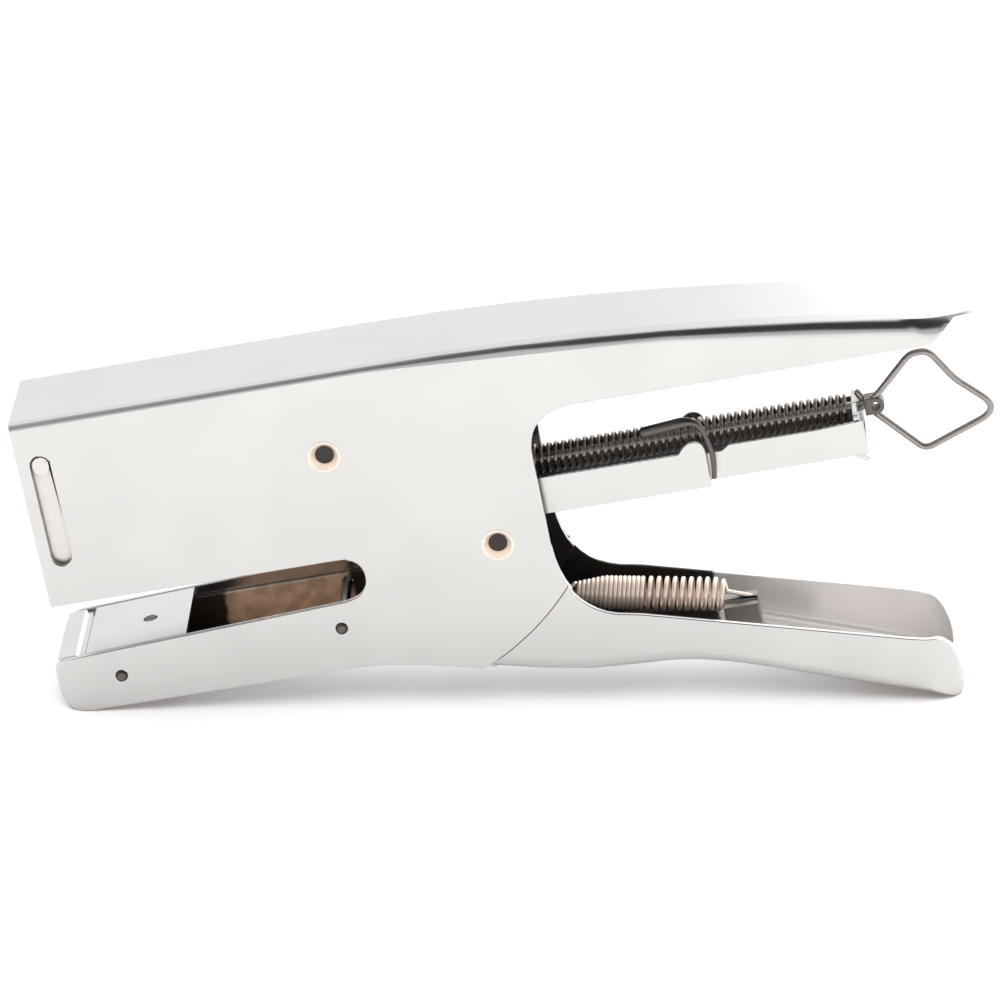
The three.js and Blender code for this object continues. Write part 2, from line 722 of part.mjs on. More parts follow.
function lowerLever() {
  const wide = halfBody + 1;
  const outline = leverOutline();
  const deep = tip.y - 20;
  const inSeam = crossBar(leverPivot, seamRadius, -wide, wide, 180);
  const inJoggle = crossBar(leverPivot, seamRadius + sheet + 0.2, -wide, wide, 180);
  const folded = gripFold(0).intersect(planPrism(gripPlan(0), deep, headTop + 10));
  const bare = gripFold(sheet).intersect(planPrism(gripPlan(sheet), deep - 1, headTop + 11));
  let skin = sidePrism(outline, -wide, wide).intersect(folded).subtract(bare).subtract(inSeam);
  const band = bothSides((side) => sidePrism(outline, ...onSide(side, armInner, halfBody - 0.5)));
  skin = skin.add(band.intersect(inJoggle).intersect(folded).subtract(inSeam));
  const arms = bothSides((side) => sidePrism(outline, ...onSide(side, armInner, armOuter)));
  const floorRoom = sidePrism(floorOutline(), -wide, wide).intersect(inSeam);
  let lever = skin.add(arms.intersect(inJoggle).subtract(floorRoom));
  lever = lever.subtract(crossBar(leverPivot, boreRadius, -wide, wide));
  const slack = 0.02;
  const pinSlot = arcSlot(
    pivotReach,
    bushOuter + slideGap,
    pivotAngle - leverTravel - slack,
    pivotAngle + slack,
  );
  lever = lever.subtract(sidePrism(pinSlot, -wide, wide, 14));
  const near = aroundPivot(frontArm, eyeAngle);
  const far = aroundPivot(eyeReach, eyeAngle);
  const eye = new THREE.Shape();
  const eyeHalf = hammerPinRadius + 0.15;
  eye.absarc(far.x, far.y, eyeHalf, eyeAngle - Math.PI / 2, eyeAngle + Math.PI / 2, false);
  eye.absarc(near.x, near.y, eyeHalf, eyeAngle + Math.PI / 2, eyeAngle + 1.5 * Math.PI, false);
  return lever.subtract(sidePrism(eye, -wide, wide, 8));
}

add("lower_lever", lowerLever(), plated());

// Clip that holds the tail of the return spring, riveted to the floor of the lever.
const gripPoints = gripCurve.getPoints(40);
const gripFloor = (x) => gripPoints.reduce((a, p) => (Math.abs(p.x - x) < Math.abs(a.x - x) ? p : a)).y;
const springTail = new THREE.Vector3(clipFoot - 1.5, 0, gripFloor(clipFoot) + 8.2);

function springClip() {
  const s = new THREE.Shape();
  const floor = (x) => gripFloor(x) + sheet + seatGap;
  s.moveTo(clipFoot - 1, floor(clipFoot - 1) + 0.1);
  s.lineTo(clipFoot + 10, floor(clipFoot + 10) + 0.3);
  s.lineTo(clipFoot + 10, floor(clipFoot + 10) + 1.2);
  s.lineTo(clipFoot + 1.4, floor(clipFoot) + 1.2);
  s.lineTo(clipFoot + 1.4, springTail.z + 2.2);
  s.lineTo(clipFoot - 1, springTail.z + 2.2);
  const post = sidePrism(s, -3, 3);
  return post.subtract(longBar(clipFoot - 6, clipFoot + 6, 0, springTail.z, springWire + 0.8, 12));
}

add("spring_clip", springClip(), steel());

function clipRivet() {
  const x = clipFoot + 6;
  const base = gripFloor(x) + sheet + seatGap + 1.3;
  const profile = [];
  for (let i = 0; i <= 5; i += 1) {
    const a = (i / 5) * (Math.PI / 2);
    profile.push(new THREE.Vector2(2 * Math.cos(a), 1.3 * Math.sin(a)));
  }
  profile[5].x = 0;
  const geometry = new THREE.LatheGeometry([new THREE.Vector2(0, 0), ...profile], 16);
  geometry.rotateX(Math.PI / 2);
  geometry.rotateY(0.32);
  geometry.translate(x, 0, base + 0.5);
  return solid(geometry);
}

add("clip_rivet", clipRivet(), steel());

// ---- hammer --------------------------------------------------------------------------------------------

const hammerHalf = halfInside - slideGap;
const hammerCheek = 1;
const hammerTop = ceiling - 0.75;
const hammerWeb = hammerPin.y - 9.5;

/** Block that slides in the head: cheeks behind the side slots, a lug in each slot, a web to the pin. */
function hammerBlock() {
  const front = 1.4;
  const low = slotBottom - slideGap;
  const cheek = bothSides((side) =>
    block(front, slotRear - 0.1, ...onSide(side, hammerHalf - hammerCheek, hammerHalf), low, hammerTop),
  );
  const inner = armInner - slideGap;
  const web = block(bladeFront + bladeThickness + 0.2, slotRear - 0.1, -hammerHalf, hammerHalf, hammerWeb,
    hammerTop);
  const boss = block(slotRear - 0.2, hammerPin.x + 3, -inner, inner, hammerPin.y - 4, hammerTop);
  const lugShape = slotShape(slotFront + slideGap, slotRear - slideGap, slotTop - 3.7, slotTop - slideGap);
  const lug = bothSides((side) => sidePrism(lugShape, ...onSide(side, hammerHalf - 0.2, halfBody - 0.25), 4));
  const hammer = cheek.add(web).add(boss).add(lug);
  return hammer.subtract(crossBar(hammerPin, hammerPinRadius + runGap, -halfBody, halfBody, 20));
}

add("hammer", hammerBlock(), plated());
add("hammer_pin", crossBar(hammerPin, hammerPinRadius, -hammerHalf, hammerHalf, 20), steel());

const bladeHalf = halfMagazine - magazineSheet - slideGap;
add(
  "driver_blade",
  block(bladeFront, bladeFront + bladeThickness, -bladeHalf, bladeHalf, bladeTip, hammerTop - 2),
  steel(),
);

// ---- magazine ------------------------------------------------------------------------------------------

const sleeveFront = bladeFront - 1;
const sleeveRear = cheekRear + 28.5;
const sleeveInside = halfMagazine - magazineSheet;
const lobeRise = 1.8;

/** Open channel with rounded ears at its rear end, and lugs below that ride on the magazine pin. */
function magazineChannel() {
  const s = new THREE.Shape();
  s.moveTo(sleeveFront, 0);
  s.lineTo(sleeveRear, 0);
  s.lineTo(sleeveRear, magazineHeight - 0.6);
  s.quadraticCurveTo(sleeveRear, magazineHeight + lobeRise, sleeveRear - 2, magazineHeight + lobeRise);
  s.quadraticCurveTo(sleeveRear - 3.4, magazineHeight + lobeRise, sleeveRear - 4.6, magazineHeight);
  s.lineTo(sleeveFront, magazineHeight);
  let sleeve = sidePrism(s, -halfMagazine, halfMagazine, 5);
  sleeve = sleeve.subtract(
    block(sleeveFront + magazineSheet, sleeveRear + 1, -sleeveInside, sleeveInside, magazineSheet, 20),
  );
  sleeve = sleeve.subtract(
    block(bladeFront - 0.4, bladeFront + bladeThickness + 0.7, -sleeveInside, sleeveInside, -1, 1),
  );
  const lug = bothSides((side) => {
    const [a, b] = onSide(side, sleeveInside, halfMagazine);
    const disc = crossBar(magazinePivot, pinRadius + 2, a, b);
    return disc.add(block(magazinePivot.x - 4.4, magazinePivot.x + 4.4, a, b, magazinePivot.y, 1));
  });
  sleeve = sleeve.add(lug);
  return sleeve.subtract(crossBar(magazinePivot, boreRadius, -halfBody, halfBody));
}

add("magazine_channel", magazineChannel(), plated());

const stapleHalf = sleeveInside - 0.2;
const stapleFront = bladeFront + bladeThickness + 0.75;
const stapleRear = cheekRear - 26.1;
const stapleTop = magazineSheet + slideGap + stapleLeg;

function channelSection(half, low, high, wall) {
  const s = new THREE.Shape();
  s.moveTo(-half, low);
  s.lineTo(-half, high);
  s.lineTo(half, high);
  s.lineTo(half, low);
  s.lineTo(half - wall, low);
  s.lineTo(half - wall, high - wall);
  s.lineTo(wall - half, high - wall);
  s.lineTo(wall - half, low);
  return s;
}

const stapleFoot = magazineSheet + slideGap;
const strip = channelSection(stapleHalf, stapleFoot, stapleTop, stapleWire);
add("staple_strip", crossPrism(strip, stapleFront, stapleRear), steel());
const railHalf = stapleHalf - stapleWire - 0.25;
const rail = channelSection(railHalf, magazineSheet + seatGap, stapleTop - stapleWire - 0.25, 0.7);
add("staple_rail", crossPrism(rail, stapleFront + 0.3, stapleRear - 0.5), plated());

// Upright spring between the liner's tongue and the magazine, ahead of the pivot: it lifts the nose again.
const liftFrom = new THREE.Vector3(linerRear + 3, 0, linerFloor + 0.9 + springWire + seatGap);
const liftTo = new THREE.Vector3(liftFrom.x, 0, -springWire - seatGap);
const liftCoil = new Coil(liftFrom, liftTo, 2, 7);
add("lift_spring", wire(liftCoil, springWire, 70, 5), springSteel());

// ---- drawer --------------------------------------------------------------------------------------------

const drawerHalf = sleeveInside - slideGap;
const drawerFront = stapleRear + 3;
const drawerRear = cheekRear + 55.5;
const drawerFloor = magazineSheet + slideGap;
const drawerWall = 0.6;
const sillTop = drawerFloor + drawerWall + 0.6; // low front stop that the pusher's nose passes over
const rodRadius = 0.9;
const rodHeight = magazineHeight + 0.6;
const coilRadius = 2.2;

/** Inner channel that pulls out of the magazine, with a tail plate and a down-turned foot. */
function drawerChannel() {
  const s = new THREE.Shape();
  const top = magazineHeight;
  s.moveTo(drawerFront, drawerFloor);
  s.lineTo(drawerRear, drawerFloor);
  s.lineTo(drawerRear, top + 0.4);
  s.lineTo(drawerRear - 8, top);
  s.lineTo(sleeveRear + 4, top);
  s.lineTo(sleeveRear + 2.6, top - 0.9);
  s.lineTo(drawerFront, top - 0.9);
  let drawer = sidePrism(s, -drawerHalf, drawerHalf);
  const inner = drawerHalf - drawerWall;
  drawer = drawer.subtract(
    block(drawerFront - 1, drawerRear + 1, -inner, inner, drawerFloor + drawerWall, 20),
  );
  const tail = block(drawerRear - 1.6, drawerRear - 0.8, -inner - 0.1, inner + 0.1, drawerFloor,
    rodHeight + 1.9);
  const sill = block(drawerFront, drawerFront + 0.8, -inner - 0.1, inner + 0.1, drawerFloor, sillTop);
  const foot = new THREE.Shape();
  foot.moveTo(drawerRear - 4.4, drawerFloor + drawerWall);
  foot.lineTo(drawerRear - 4.4, drawerFloor);
  foot.lineTo(drawerRear - 0.4, drawerFloor - 2.6);
  foot.lineTo(drawerRear + 0.1, drawerFloor - 1.9);
  foot.lineTo(drawerRear - 3.2, drawerFloor + 0.3);
  foot.lineTo(drawerRear - 3.2, drawerFloor + drawerWall);
  drawer = drawer.add(tail).add(sill).add(sidePrism(foot, -3.5, 3.5));
  const rodHole = rodRadius + runGap;
  return drawer.subtract(longBar(drawerFront - 2, drawerRear + 2, 0, rodHeight, rodHole));
}

add("drawer_channel", drawerChannel(), plated());

const pusherFront = stapleRear + 0.3;
const pusherRear = drawerFront + 5.4;

/** Sliding block on the rod: a shoe in the drawer and a nose that reaches the last staple. */
function pusher() {
  const shoeHalf = drawerHalf - drawerWall - slideGap;
  const shoe = block(drawerFront + 1.1, pusherRear, -shoeHalf, shoeHalf, drawerFloor + drawerWall + slideGap,
    rodHeight + 2);
  const nose = block(pusherFront, drawerFront + 1.2, -shoeHalf, shoeHalf, magazineHeight - 0.5,
    rodHeight + 2);
  const face = block(pusherFront, drawerFront - 0.3, -shoeHalf, shoeHalf, sillTop + slideGap, rodHeight + 2);
  return shoe.add(nose).add(face).subtract(longBar(0, drawerRear, 0, rodHeight, rodRadius + runGap));
}

add("pusher", pusher(), steel());

const ringPivot = new THREE.Vector2(drawerRear + 2.4, rodHeight);
const clipHalf = 1.5;
const rodFront = pusherFront + 0.6;
add("follower_rod", longBar(rodFront, drawerRear + 0.4, 0, rodHeight, rodRadius, 14), steel());

const coilFrom = new THREE.Vector3(pusherRear + 0.6, 0, rodHeight);
const coilTo = new THREE.Vector3(drawerRear - 2.2, 0, rodHeight);
const coil = new Coil(coilFrom, coilTo, coilRadius, Math.round((coilTo.x - coilFrom.x) / 2.6));
add("follower_spring", wire(coil, springWire, Math.round(coil.turns * 8), 4), springSteel());

/** Small head on the end of the rod with a cross bore for the pull ring. */
function ringClip() {
  const s = new THREE.Shape();
  s.moveTo(drawerRear + 0.5, rodHeight - 1.5);
  s.lineTo(ringPivot.x, rodHeight - 1.5);
  s.absarc(ringPivot.x, ringPivot.y, 1.5, -Math.PI / 2, Math.PI / 2, false);
  s.lineTo(drawerRear + 0.5, rodHeight + 1.5);
  const clip = sidePrism(s, -clipHalf, clipHalf, 8);
  return clip.subtract(crossBar(ringPivot, wireRadius + runGap, -5, 5, 16));
}

add("ring_clip", ringClip(), steel());

/** Bent wire ring: both ends are turned in and meet inside the bore of the clip. */
function pullRing() {
  const x = ringPivot.x;
  const z = ringPivot.y;
  const side = clipHalf + 1.1;
  const path = new THREE.CurvePath();
  const corners = [
    [0, -0.25, 0, 0.1],
    [0, -side, 0, 0.9],
    [7.4, -0.9, -9.2, 2],
    [18.6, 0, -4.6, 2],
    [14, 0, 1.6, 2.5],
    [10.2, 0, 8.6, 2],
    [6, 0.5, 7.6, 1.5],
    [0, side, 0, 0.9],
    [0, 0.25, 0, 0.1],
  ];
  const points = corners.map((c) => new THREE.Vector3(x + c[0], c[1], z + c[2]));
  let from = points[0];
  for (let i = 1; i + 1 < points.length; i += 1) {
    const r = corners[i][3];
    const back = new THREE.Vector3().subVectors(points[i - 1], points[i]).setLength(r).add(points[i]);
    const ahead = new THREE.Vector3().subVectors(points[i + 1], points[i]).setLength(r).add(points[i]);
    path.add(new THREE.LineCurve3(from, back));
    path.add(new THREE.QuadraticBezierCurve3(back, points[i], ahead));
    from = ahead;
  }
  path.add(new THREE.LineCurve3(from, points.at(-1)));
  return wire(path, wireRadius, 80, 6);
}

add("pull_ring", pullRing(), steel());

// ---- return spring -------------------------------------------------------------------------------------

/** Extension spring with straight drawn-out ends, from the tongue of the jaw liner to the clip. */
class ReturnSpring extends THREE.Curve {
  getPoint(t, target = new THREE.Vector3()) {
    const head = new THREE.Vector3(springFront.x - 0.2, 0, springFront.z);
    const tail = new THREE.Vector3(springTail.x + 3.4, 0, springTail.z);
    const leg = 0.1;
    const u = Math.min(Math.max((t - leg) / (1 - 2 * leg), 0), 1);
    const along = t < leg ? (t / leg) * 0.2 : t > 1 - leg ? 1 - ((1 - t) / leg) * 0.14 : 0.2 + 0.66 * u;
    const swell = Math.min(1, 6 * Math.min(u, 1 - u));
    const a = 2 * Math.PI * 13 * u;
    target.lerpVectors(head, tail, along);
    target.y += 2.9 * swell * Math.sin(a);
    target.z += 2.9 * swell * Math.cos(a);
    return target;
  }
}

add("return_spring", wire(new ReturnSpring(), springWire, 150, 5), springSteel());

// ---- standing position ---------------------------------------------------------------------------------

const jawContact = new THREE.Vector2(noseFront + 1.4 * noseRadius, jawBottom);
const tilt = Math.atan2(jawContact.y - tip.y, tip.x - jawContact.x);
tool.rotation.y = -tilt;
tool.updateMatrixWorld(true);
const bounds = new THREE.Box3().setFromObject(tool, true);
const centre = bounds.getCenter(new THREE.Vector3());
tool.position.set(-centre.x, -centre.y, -bounds.min.z);
tool.updateMatrixWorld(true);

const stated = (point) => new THREE.Vector3(point.x, 0, point.y).applyMatrix4(tool.matrixWorld).toArray();
tool.userData.joints = {
  lever: stated(leverPivot),
  magazine: stated(magazinePivot),
  ring: stated(ringPivot),
  tilt,
  leverTravel,
  magazineTravel,
  stroke,
};

export default tool;
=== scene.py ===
"""The finished look of an all-metal plier stapler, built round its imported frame.

Every length in the classes below is in millimetres and in the tool's own axes: x runs from the front of
the head to the tail, y across the tool, z up from the underside of the magazine. ToolAxes turns such a
place into the frame's metres.
"""

import json
import logging
import math
from dataclasses import dataclass
from enum import Enum
from typing import Callable, Iterable, Sequence

import bmesh
import bpy
from mathutils import Matrix, Vector


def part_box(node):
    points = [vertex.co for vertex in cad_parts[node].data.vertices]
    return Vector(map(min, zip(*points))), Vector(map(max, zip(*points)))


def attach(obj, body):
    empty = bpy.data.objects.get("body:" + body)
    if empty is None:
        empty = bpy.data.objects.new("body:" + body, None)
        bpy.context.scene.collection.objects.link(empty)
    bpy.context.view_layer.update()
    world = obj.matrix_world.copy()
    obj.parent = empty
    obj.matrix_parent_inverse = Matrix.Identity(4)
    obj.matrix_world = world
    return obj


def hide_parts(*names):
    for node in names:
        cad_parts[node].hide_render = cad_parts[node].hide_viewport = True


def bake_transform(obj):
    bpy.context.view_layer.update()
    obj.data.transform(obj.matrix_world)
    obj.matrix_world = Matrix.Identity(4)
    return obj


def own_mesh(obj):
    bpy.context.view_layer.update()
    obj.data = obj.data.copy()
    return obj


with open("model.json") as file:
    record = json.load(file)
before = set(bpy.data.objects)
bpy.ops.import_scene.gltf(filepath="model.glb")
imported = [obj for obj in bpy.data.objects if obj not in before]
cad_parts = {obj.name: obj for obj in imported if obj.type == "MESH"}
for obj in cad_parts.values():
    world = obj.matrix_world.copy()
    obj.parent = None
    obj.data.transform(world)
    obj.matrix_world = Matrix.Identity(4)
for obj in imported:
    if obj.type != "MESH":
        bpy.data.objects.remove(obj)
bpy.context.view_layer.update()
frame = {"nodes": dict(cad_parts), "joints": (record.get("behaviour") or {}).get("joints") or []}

LOG = logging.getLogger("plier_stapler")
MM = 0.001

Point = tuple[float, float, float]
Colour = tuple[float, float, float]
Corner = tuple[float, float, float]


# ---- the tool's own axes ---------------------------------------------------------------------------------


@dataclass(frozen=True)
class ToolAxes:
    """The axes in which the tool is drawn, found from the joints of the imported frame."""

    along: Vector
    up: Vector
    origin: Vector

    @classmethod
    def from_joints(cls, joints: Sequence[dict], pivot: tuple[float, float]) -> "ToolAxes":
        """Finds the axes.

        Args:
            joints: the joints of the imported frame.
            pivot: x and z of the lever's pivot in the tool's own axes, in millimetres.

        Returns:
            The axes, with the origin at the head's front, level with the magazine's underside.
        """
        named = {joint["name"]: joint for joint in joints}
        along = Vector(named["drawer_pull"]["axis"]).normalized()
        up = -Vector(named["hammer_stroke"]["axis"]).normalized()
        place = Vector(named["lever_squeeze"]["pos_m"])
        return cls(along, up, place - along * pivot[0] * MM - up * pivot[1] * MM)

    def at(self, x: float, y: float, z: float) -> Vector:
        """The frame's point for a place in the tool's axes."""
        return self.origin + self.along * x * MM + Vector((0, y * MM, 0)) + self.up * z * MM

    def matrix(self) -> Matrix:
        """Turns millimetres in the tool's axes into the frame's metres."""
        columns = (self.along * MM, Vector((0, MM, 0)), self.up * MM, self.origin)
        return Matrix([[c[row] for c in columns] for row in range(3)] + [[0, 0, 0, 1]])


LEVER_PIVOT = (51.5, 18.34)
MAGAZINE_PIVOT = (77.3, -2.6)
SEAM_RADIUS = 47.4
SEAM_ZONE = 0.6
SEAM_ROUNDING = 0.2
SEAM_LEFT = 0.03
SEAM_REACH = 0.25
AXES = ToolAxes.from_joints(frame["joints"], LEVER_PIVOT)
HALF_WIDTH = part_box("body_shell")[1].y / MM

# Widths of the rounding on the edges of the pieces.
FOLD_EDGE = 0.22
BLOCK_EDGE = 0.15
SHEET_EDGE = 0.12
RAIL_EDGE = 0.08
THIN_EDGE = 0.06
SCREW_EDGE = 0.05


# ---- shader node groups ----------------------------------------------------------------------------------


class Sockets(Enum):
    """Kinds of socket that the groups use."""

    VALUE = "NodeSocketFloat"


class NodeKit:
    """Places nodes in a tree and joins them by name."""

    def __init__(self, tree: bpy.types.NodeTree) -> None:
        """Starts with an empty tree."""
        self.tree = tree
        self.tree.nodes.clear()

    def node(self, kind: str, **inputs: object) -> bpy.types.Node:
        """Adds a node.

        Args:
            kind: the node's type without the ShaderNode prefix.
            **inputs: values or output sockets for inputs, by name with _ for a space; a name that is a
                property of the node sets that property.

        Returns:
            The new node.
        """
        made = self.tree.nodes.new(kind if kind.startswith("NodeGroup") else "ShaderNode" + kind)
        for name, value in inputs.items():
            if hasattr(made, name) and not isinstance(value, bpy.types.NodeSocket):
                setattr(made, name, value)
                continue
            socket = made.inputs[int(name[1:])] if name[1:].isdigit() else made.inputs[name.replace("_", " ")]
            if isinstance(value, bpy.types.NodeSocket):
                self.tree.links.new(value, socket)
            else:
                socket.default_value = value
        return made

    def math(self, operation: str, *values: object, clamp: bool = False) -> bpy.types.NodeSocket:
        """Adds a Math node and returns its output."""
        made = self.node("Math", operation=operation, use_clamp=clamp)
        for socket, value in zip(made.inputs, values):
            if isinstance(value, bpy.types.NodeSocket):
                self.tree.links.new(value, socket)
            else:
                socket.default_value = value
        return made.outputs[0]

    def span(self, value: object, low: float, high: float, start: float = 0.0, end: float = 1.0) -> object:
        """Maps low..high of a value smoothly to start..end and returns the output."""
        made = self.node("MapRange", interpolation_type="SMOOTHSTEP", i0=value)
        for index, number in enumerate((low, high, start, end), start=1):
            made.inputs[index].default_value = number
        return made.outputs[0]

    def mix(self, share: object, first: object, second: object) -> bpy.types.NodeSocket:
        """Mixes two colours by a share and returns the output."""
        made = self.node("Mix", data_type="RGBA")
        for index, value in ((0, share), (6, first), (7, second)):
            if isinstance(value, bpy.types.NodeSocket):
                self.tree.links.new(value, made.inputs[index])
            else:
                made.inputs[index].default_value = (*value, 1.0) if isinstance(value, tuple) else value
        return made.outputs[2]

    def noise(self, vector: object, scale: object, detail: float = 3.0, roughness: float = 0.55) -> object:
        """Adds a Noise texture and returns its value."""
        made = self.node("TexNoise", Vector=vector, Scale=scale, Detail=detail, Roughness=roughness)
        return made.outputs[0]


def new_group(name: str, inputs: Iterable[tuple], outputs: Iterable[tuple]) -> tuple:
    """Starts a shader node group.

    Args:
        name: the group's name.
        inputs: (name, kind, default) of each input.
        outputs: (name, kind) of each output.

    Returns:
        The group, its kit, its input node and its output node.
    """
    group = bpy.data.node_groups.new(name, "ShaderNodeTree")
    kit = NodeKit(group)
    for label, kind, default in inputs:
        socket = group.interface.new_socket(name=label, in_out="INPUT", socket_type=kind.value)
        socket.default_value = default
    for label, kind in outputs:
        group.interface.new_socket(name=label, in_out="OUTPUT", socket_type=kind.value)
    return group, kit, kit.node("NodeGroupInput"), kit.node("NodeGroupOutput")


def tool_coordinates(kit: NodeKit, stretch: Point = (1.0, 1.0, 1.0)) -> bpy.types.NodeSocket:
    """Object coordinates in millimetres, turned level with the magazine and stretched along each axis."""
    place = kit.node("TexCoord").outputs["Object"]
    tilt = math.atan2(AXES.along.z, AXES.along.x)
    turned = kit.node("Mapping", Vector=place, Rotation=(0.0, tilt, 0.0))
    scaled = kit.node("Mapping", Vector=turned.outputs[0], Scale=tuple(s / MM for s in stretch))
    return scaled.outputs[0]


def polish_grain_group() -> bpy.types.NodeTree:
    """Fine polishing lines that run along the tool, with a slow unevenness of the sheet under them."""
    group, kit, given, result = new_group(
        "PolishGrain",
        [("Line Pitch", Sockets.VALUE, 0.5), ("Wave Pitch", Sockets.VALUE, 14.0)],
        [("Lines", Sockets.VALUE), ("Waves", Sockets.VALUE)],
    )
    lines_at = tool_coordinates(kit, (0.03, 1.0, 1.0))
    line_scale = kit.math("DIVIDE", 1.0, given.outputs["Line Pitch"])
    lines = kit.noise(lines_at, line_scale, 4.0, 0.7)
    wave_scale = kit.math("DIVIDE", 1.0, given.outputs["Wave Pitch"])
    waves = kit.noise(tool_coordinates(kit), wave_scale, 1.5, 0.4)
    kit.tree.links.new(lines, result.inputs["Lines"])
    kit.tree.links.new(waves, result.inputs["Waves"])
    return group


def handling_group() -> bpy.types.NodeTree:
    """Hazy marks that hands leave on bright metal: broad soft clouds with finer broken edges."""
    group, kit, given, result = new_group(
        "HandlingMarks",
        [("Patch Size", Sockets.VALUE, 22.0), ("Cover", Sockets.VALUE, 0.4)],
        [("Haze", Sockets.VALUE)],
    )
    place = tool_coordinates(kit)
    broad = kit.noise(place, kit.math("DIVIDE", 1.0, given.outputs["Patch Size"]), 3.0, 0.6)
    fine = kit.noise(place, kit.math("DIVIDE", 9.0, given.outputs["Patch Size"]), 4.0, 0.65)
    both = kit.math("MULTIPLY_ADD", fine, 0.35, broad)
    bar = kit.math("SUBTRACT", 0.95, kit.math("MULTIPLY", given.outputs["Cover"], 0.4))
    haze = kit.math("MULTIPLY", kit.math("SUBTRACT", both, bar), 4.0, clamp=True)
    kit.tree.links.new(haze, result.inputs["Haze"])
    return group


def edge_wear_group() -> bpy.types.NodeTree:
    """A mask of the sheet's worn edges, from how far a rounded normal leans away from the true one."""
    group, kit, given, result = new_group(
        "EdgeWear",
        [("Width", Sockets.VALUE, 0.0005), ("Break Up", Sockets.VALUE, 0.5)],
        [("Worn", Sockets.VALUE)],
    )
    rounded = kit.node("Bevel", samples=6, Radius=given.outputs["Width"])
    true = kit.node("NewGeometry").outputs["Normal"]
    lean = kit.node("VectorMath", operation="DOT_PRODUCT", i0=rounded.outputs[0], i1=true).outputs["Value"]
    edge = kit.span(kit.math("SUBTRACT", 1.0, lean), 0.01, 0.16)
    patches = kit.noise(tool_coordinates(kit), 0.6, 4.0, 0.7)
    kept = kit.math("SUBTRACT", 1.0, kit.math("MULTIPLY", patches, given.outputs["Break Up"]))
    kit.tree.links.new(kit.math("MULTIPLY", edge, kept, clamp=True), result.inputs["Worn"])
    return group


def recess_group() -> bpy.types.NodeTree:
    """A mask of corners and hollows from ambient occlusion: painted shade there, with the dust and old oil that
    gather there.
    """
    group, kit, given, result = new_group(
        "RecessShadeAndGrime",
        [("Reach", Sockets.VALUE, 0.004), ("Amount", Sockets.VALUE, 1.0)],
        [("Shade And Grime", Sockets.VALUE), ("Floor Shade", Sockets.VALUE)],
    )
    shade = kit.node("AmbientOcclusion", samples=6, Distance=given.outputs["Reach"]).outputs["AO"]
    # Painted shade: places deep in ambient occlusion get the mask, and with it the finish's dark grime colour.
    deep = kit.span(shade, 0.75, 0.15)
    spots = kit.noise(tool_coordinates(kit), 0.35, 4.0, 0.7)
    broken = kit.math("MULTIPLY", deep, kit.math("ADD", spots, 0.4))
    grime_and_shade = kit.math("MULTIPLY", broken, given.outputs["Amount"], clamp=True)
    facing = kit.node("SeparateXYZ", Vector=kit.node("NewGeometry").outputs["Normal"]).outputs["Z"]
    kit.tree.links.new(grime_and_shade, result.inputs["Shade And Grime"])
    # The upward-facing share of the mask, where a finish paints shade on a channel's floor.
    kit.tree.links.new(kit.math("MULTIPLY", grime_and_shade, kit.span(facing, 0.55, 0.85)), result.inputs["Floor Shade"])
    return group


def zone_group() -> bpy.types.NodeTree:
    """A mask of what lies outside a stretch along the tool, with an uneven border: where a finish paints shade.
    """
    group, kit, given, result = new_group(
        "ShadeOutsideStretch",
        [("From", Sockets.VALUE, 0.0), ("To", Sockets.VALUE, 100.0), ("Border", Sockets.VALUE, 1.0)],
        [("Shade Outside", Sockets.VALUE)],
    )
    frame_place = kit.node("Mapping", Vector=kit.node("TexCoord").outputs["Object"], Scale=(1 / MM,) * 3)
    tool_axis = tuple(AXES.along)
    share_along = kit.node("VectorMath", operation="DOT_PRODUCT", i0=frame_place.outputs[0], i1=tool_axis)
    along = kit.math("SUBTRACT", share_along.outputs["Value"], AXES.origin.dot(AXES.along) / MM)
    uneven = kit.noise(tool_coordinates(kit), 0.5, 3.0, 0.6)
    along = kit.math("MULTIPLY_ADD", kit.math("SUBTRACT", uneven, 0.5), 3.0, along)
    before = kit.math("DIVIDE", kit.math("SUBTRACT", given.outputs["From"], along), given.outputs["Border"])
    after = kit.math("DIVIDE", kit.math("SUBTRACT", along, given.outputs["To"]), given.outputs["Border"])
    outside_shade = kit.math("MAXIMUM", before, after)
    kit.tree.links.new(kit.span(outside_shade, -0.5, 0.5), result.inputs["Shade Outside"])
    return group


def inside_group() -> bpy.types.NodeTree:
    """A mask of the inner faces of a channel that runs along the tool."""
    group, kit, given, result = new_group(
        "ChannelInside", [("Half Width", Sockets.VALUE, 0.0104)], [("Inside", Sockets.VALUE)])
    across = kit.node("SeparateXYZ", Vector=kit.node("TexCoord").outputs["Object"]).outputs["Y"]
    facing = kit.node("SeparateXYZ", Vector=kit.node("NewGeometry").outputs["Normal"])
    near = kit.math("LESS_THAN", kit.math("ABSOLUTE", across), given.outputs["Half Width"])
    outward = kit.math("MULTIPLY", kit.math("SIGN", across), facing.outputs["Y"])
    inward = kit.math("MULTIPLY", kit.span(outward, 0.3, 0.1), kit.span(facing.outputs["X"], 0.5, 0.3))
    level = kit.math("MULTIPLY", inward, kit.span(facing.outputs["Z"], -0.45, -0.15))
    kit.tree.links.new(kit.math("MULTIPLY", near, level), result.inputs["Inside"])
    return group


GROUPS = {
    "inside": inside_group(),
    "shade_zone": zone_group(),
    "grain": polish_grain_group(),
    "handling": handling_group(),
    "wear": edge_wear_group(),
    "recess": recess_group(),
}


# ---- finishes --------------------------------------------------------------------------------------------


class Slot(Enum):
    """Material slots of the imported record."""

    PLATED = "plated"
    LINER = "bare_liner"
    BRASS = "rivet_brass"
    STEEL = "steel"
    SPRING = "spring_steel"


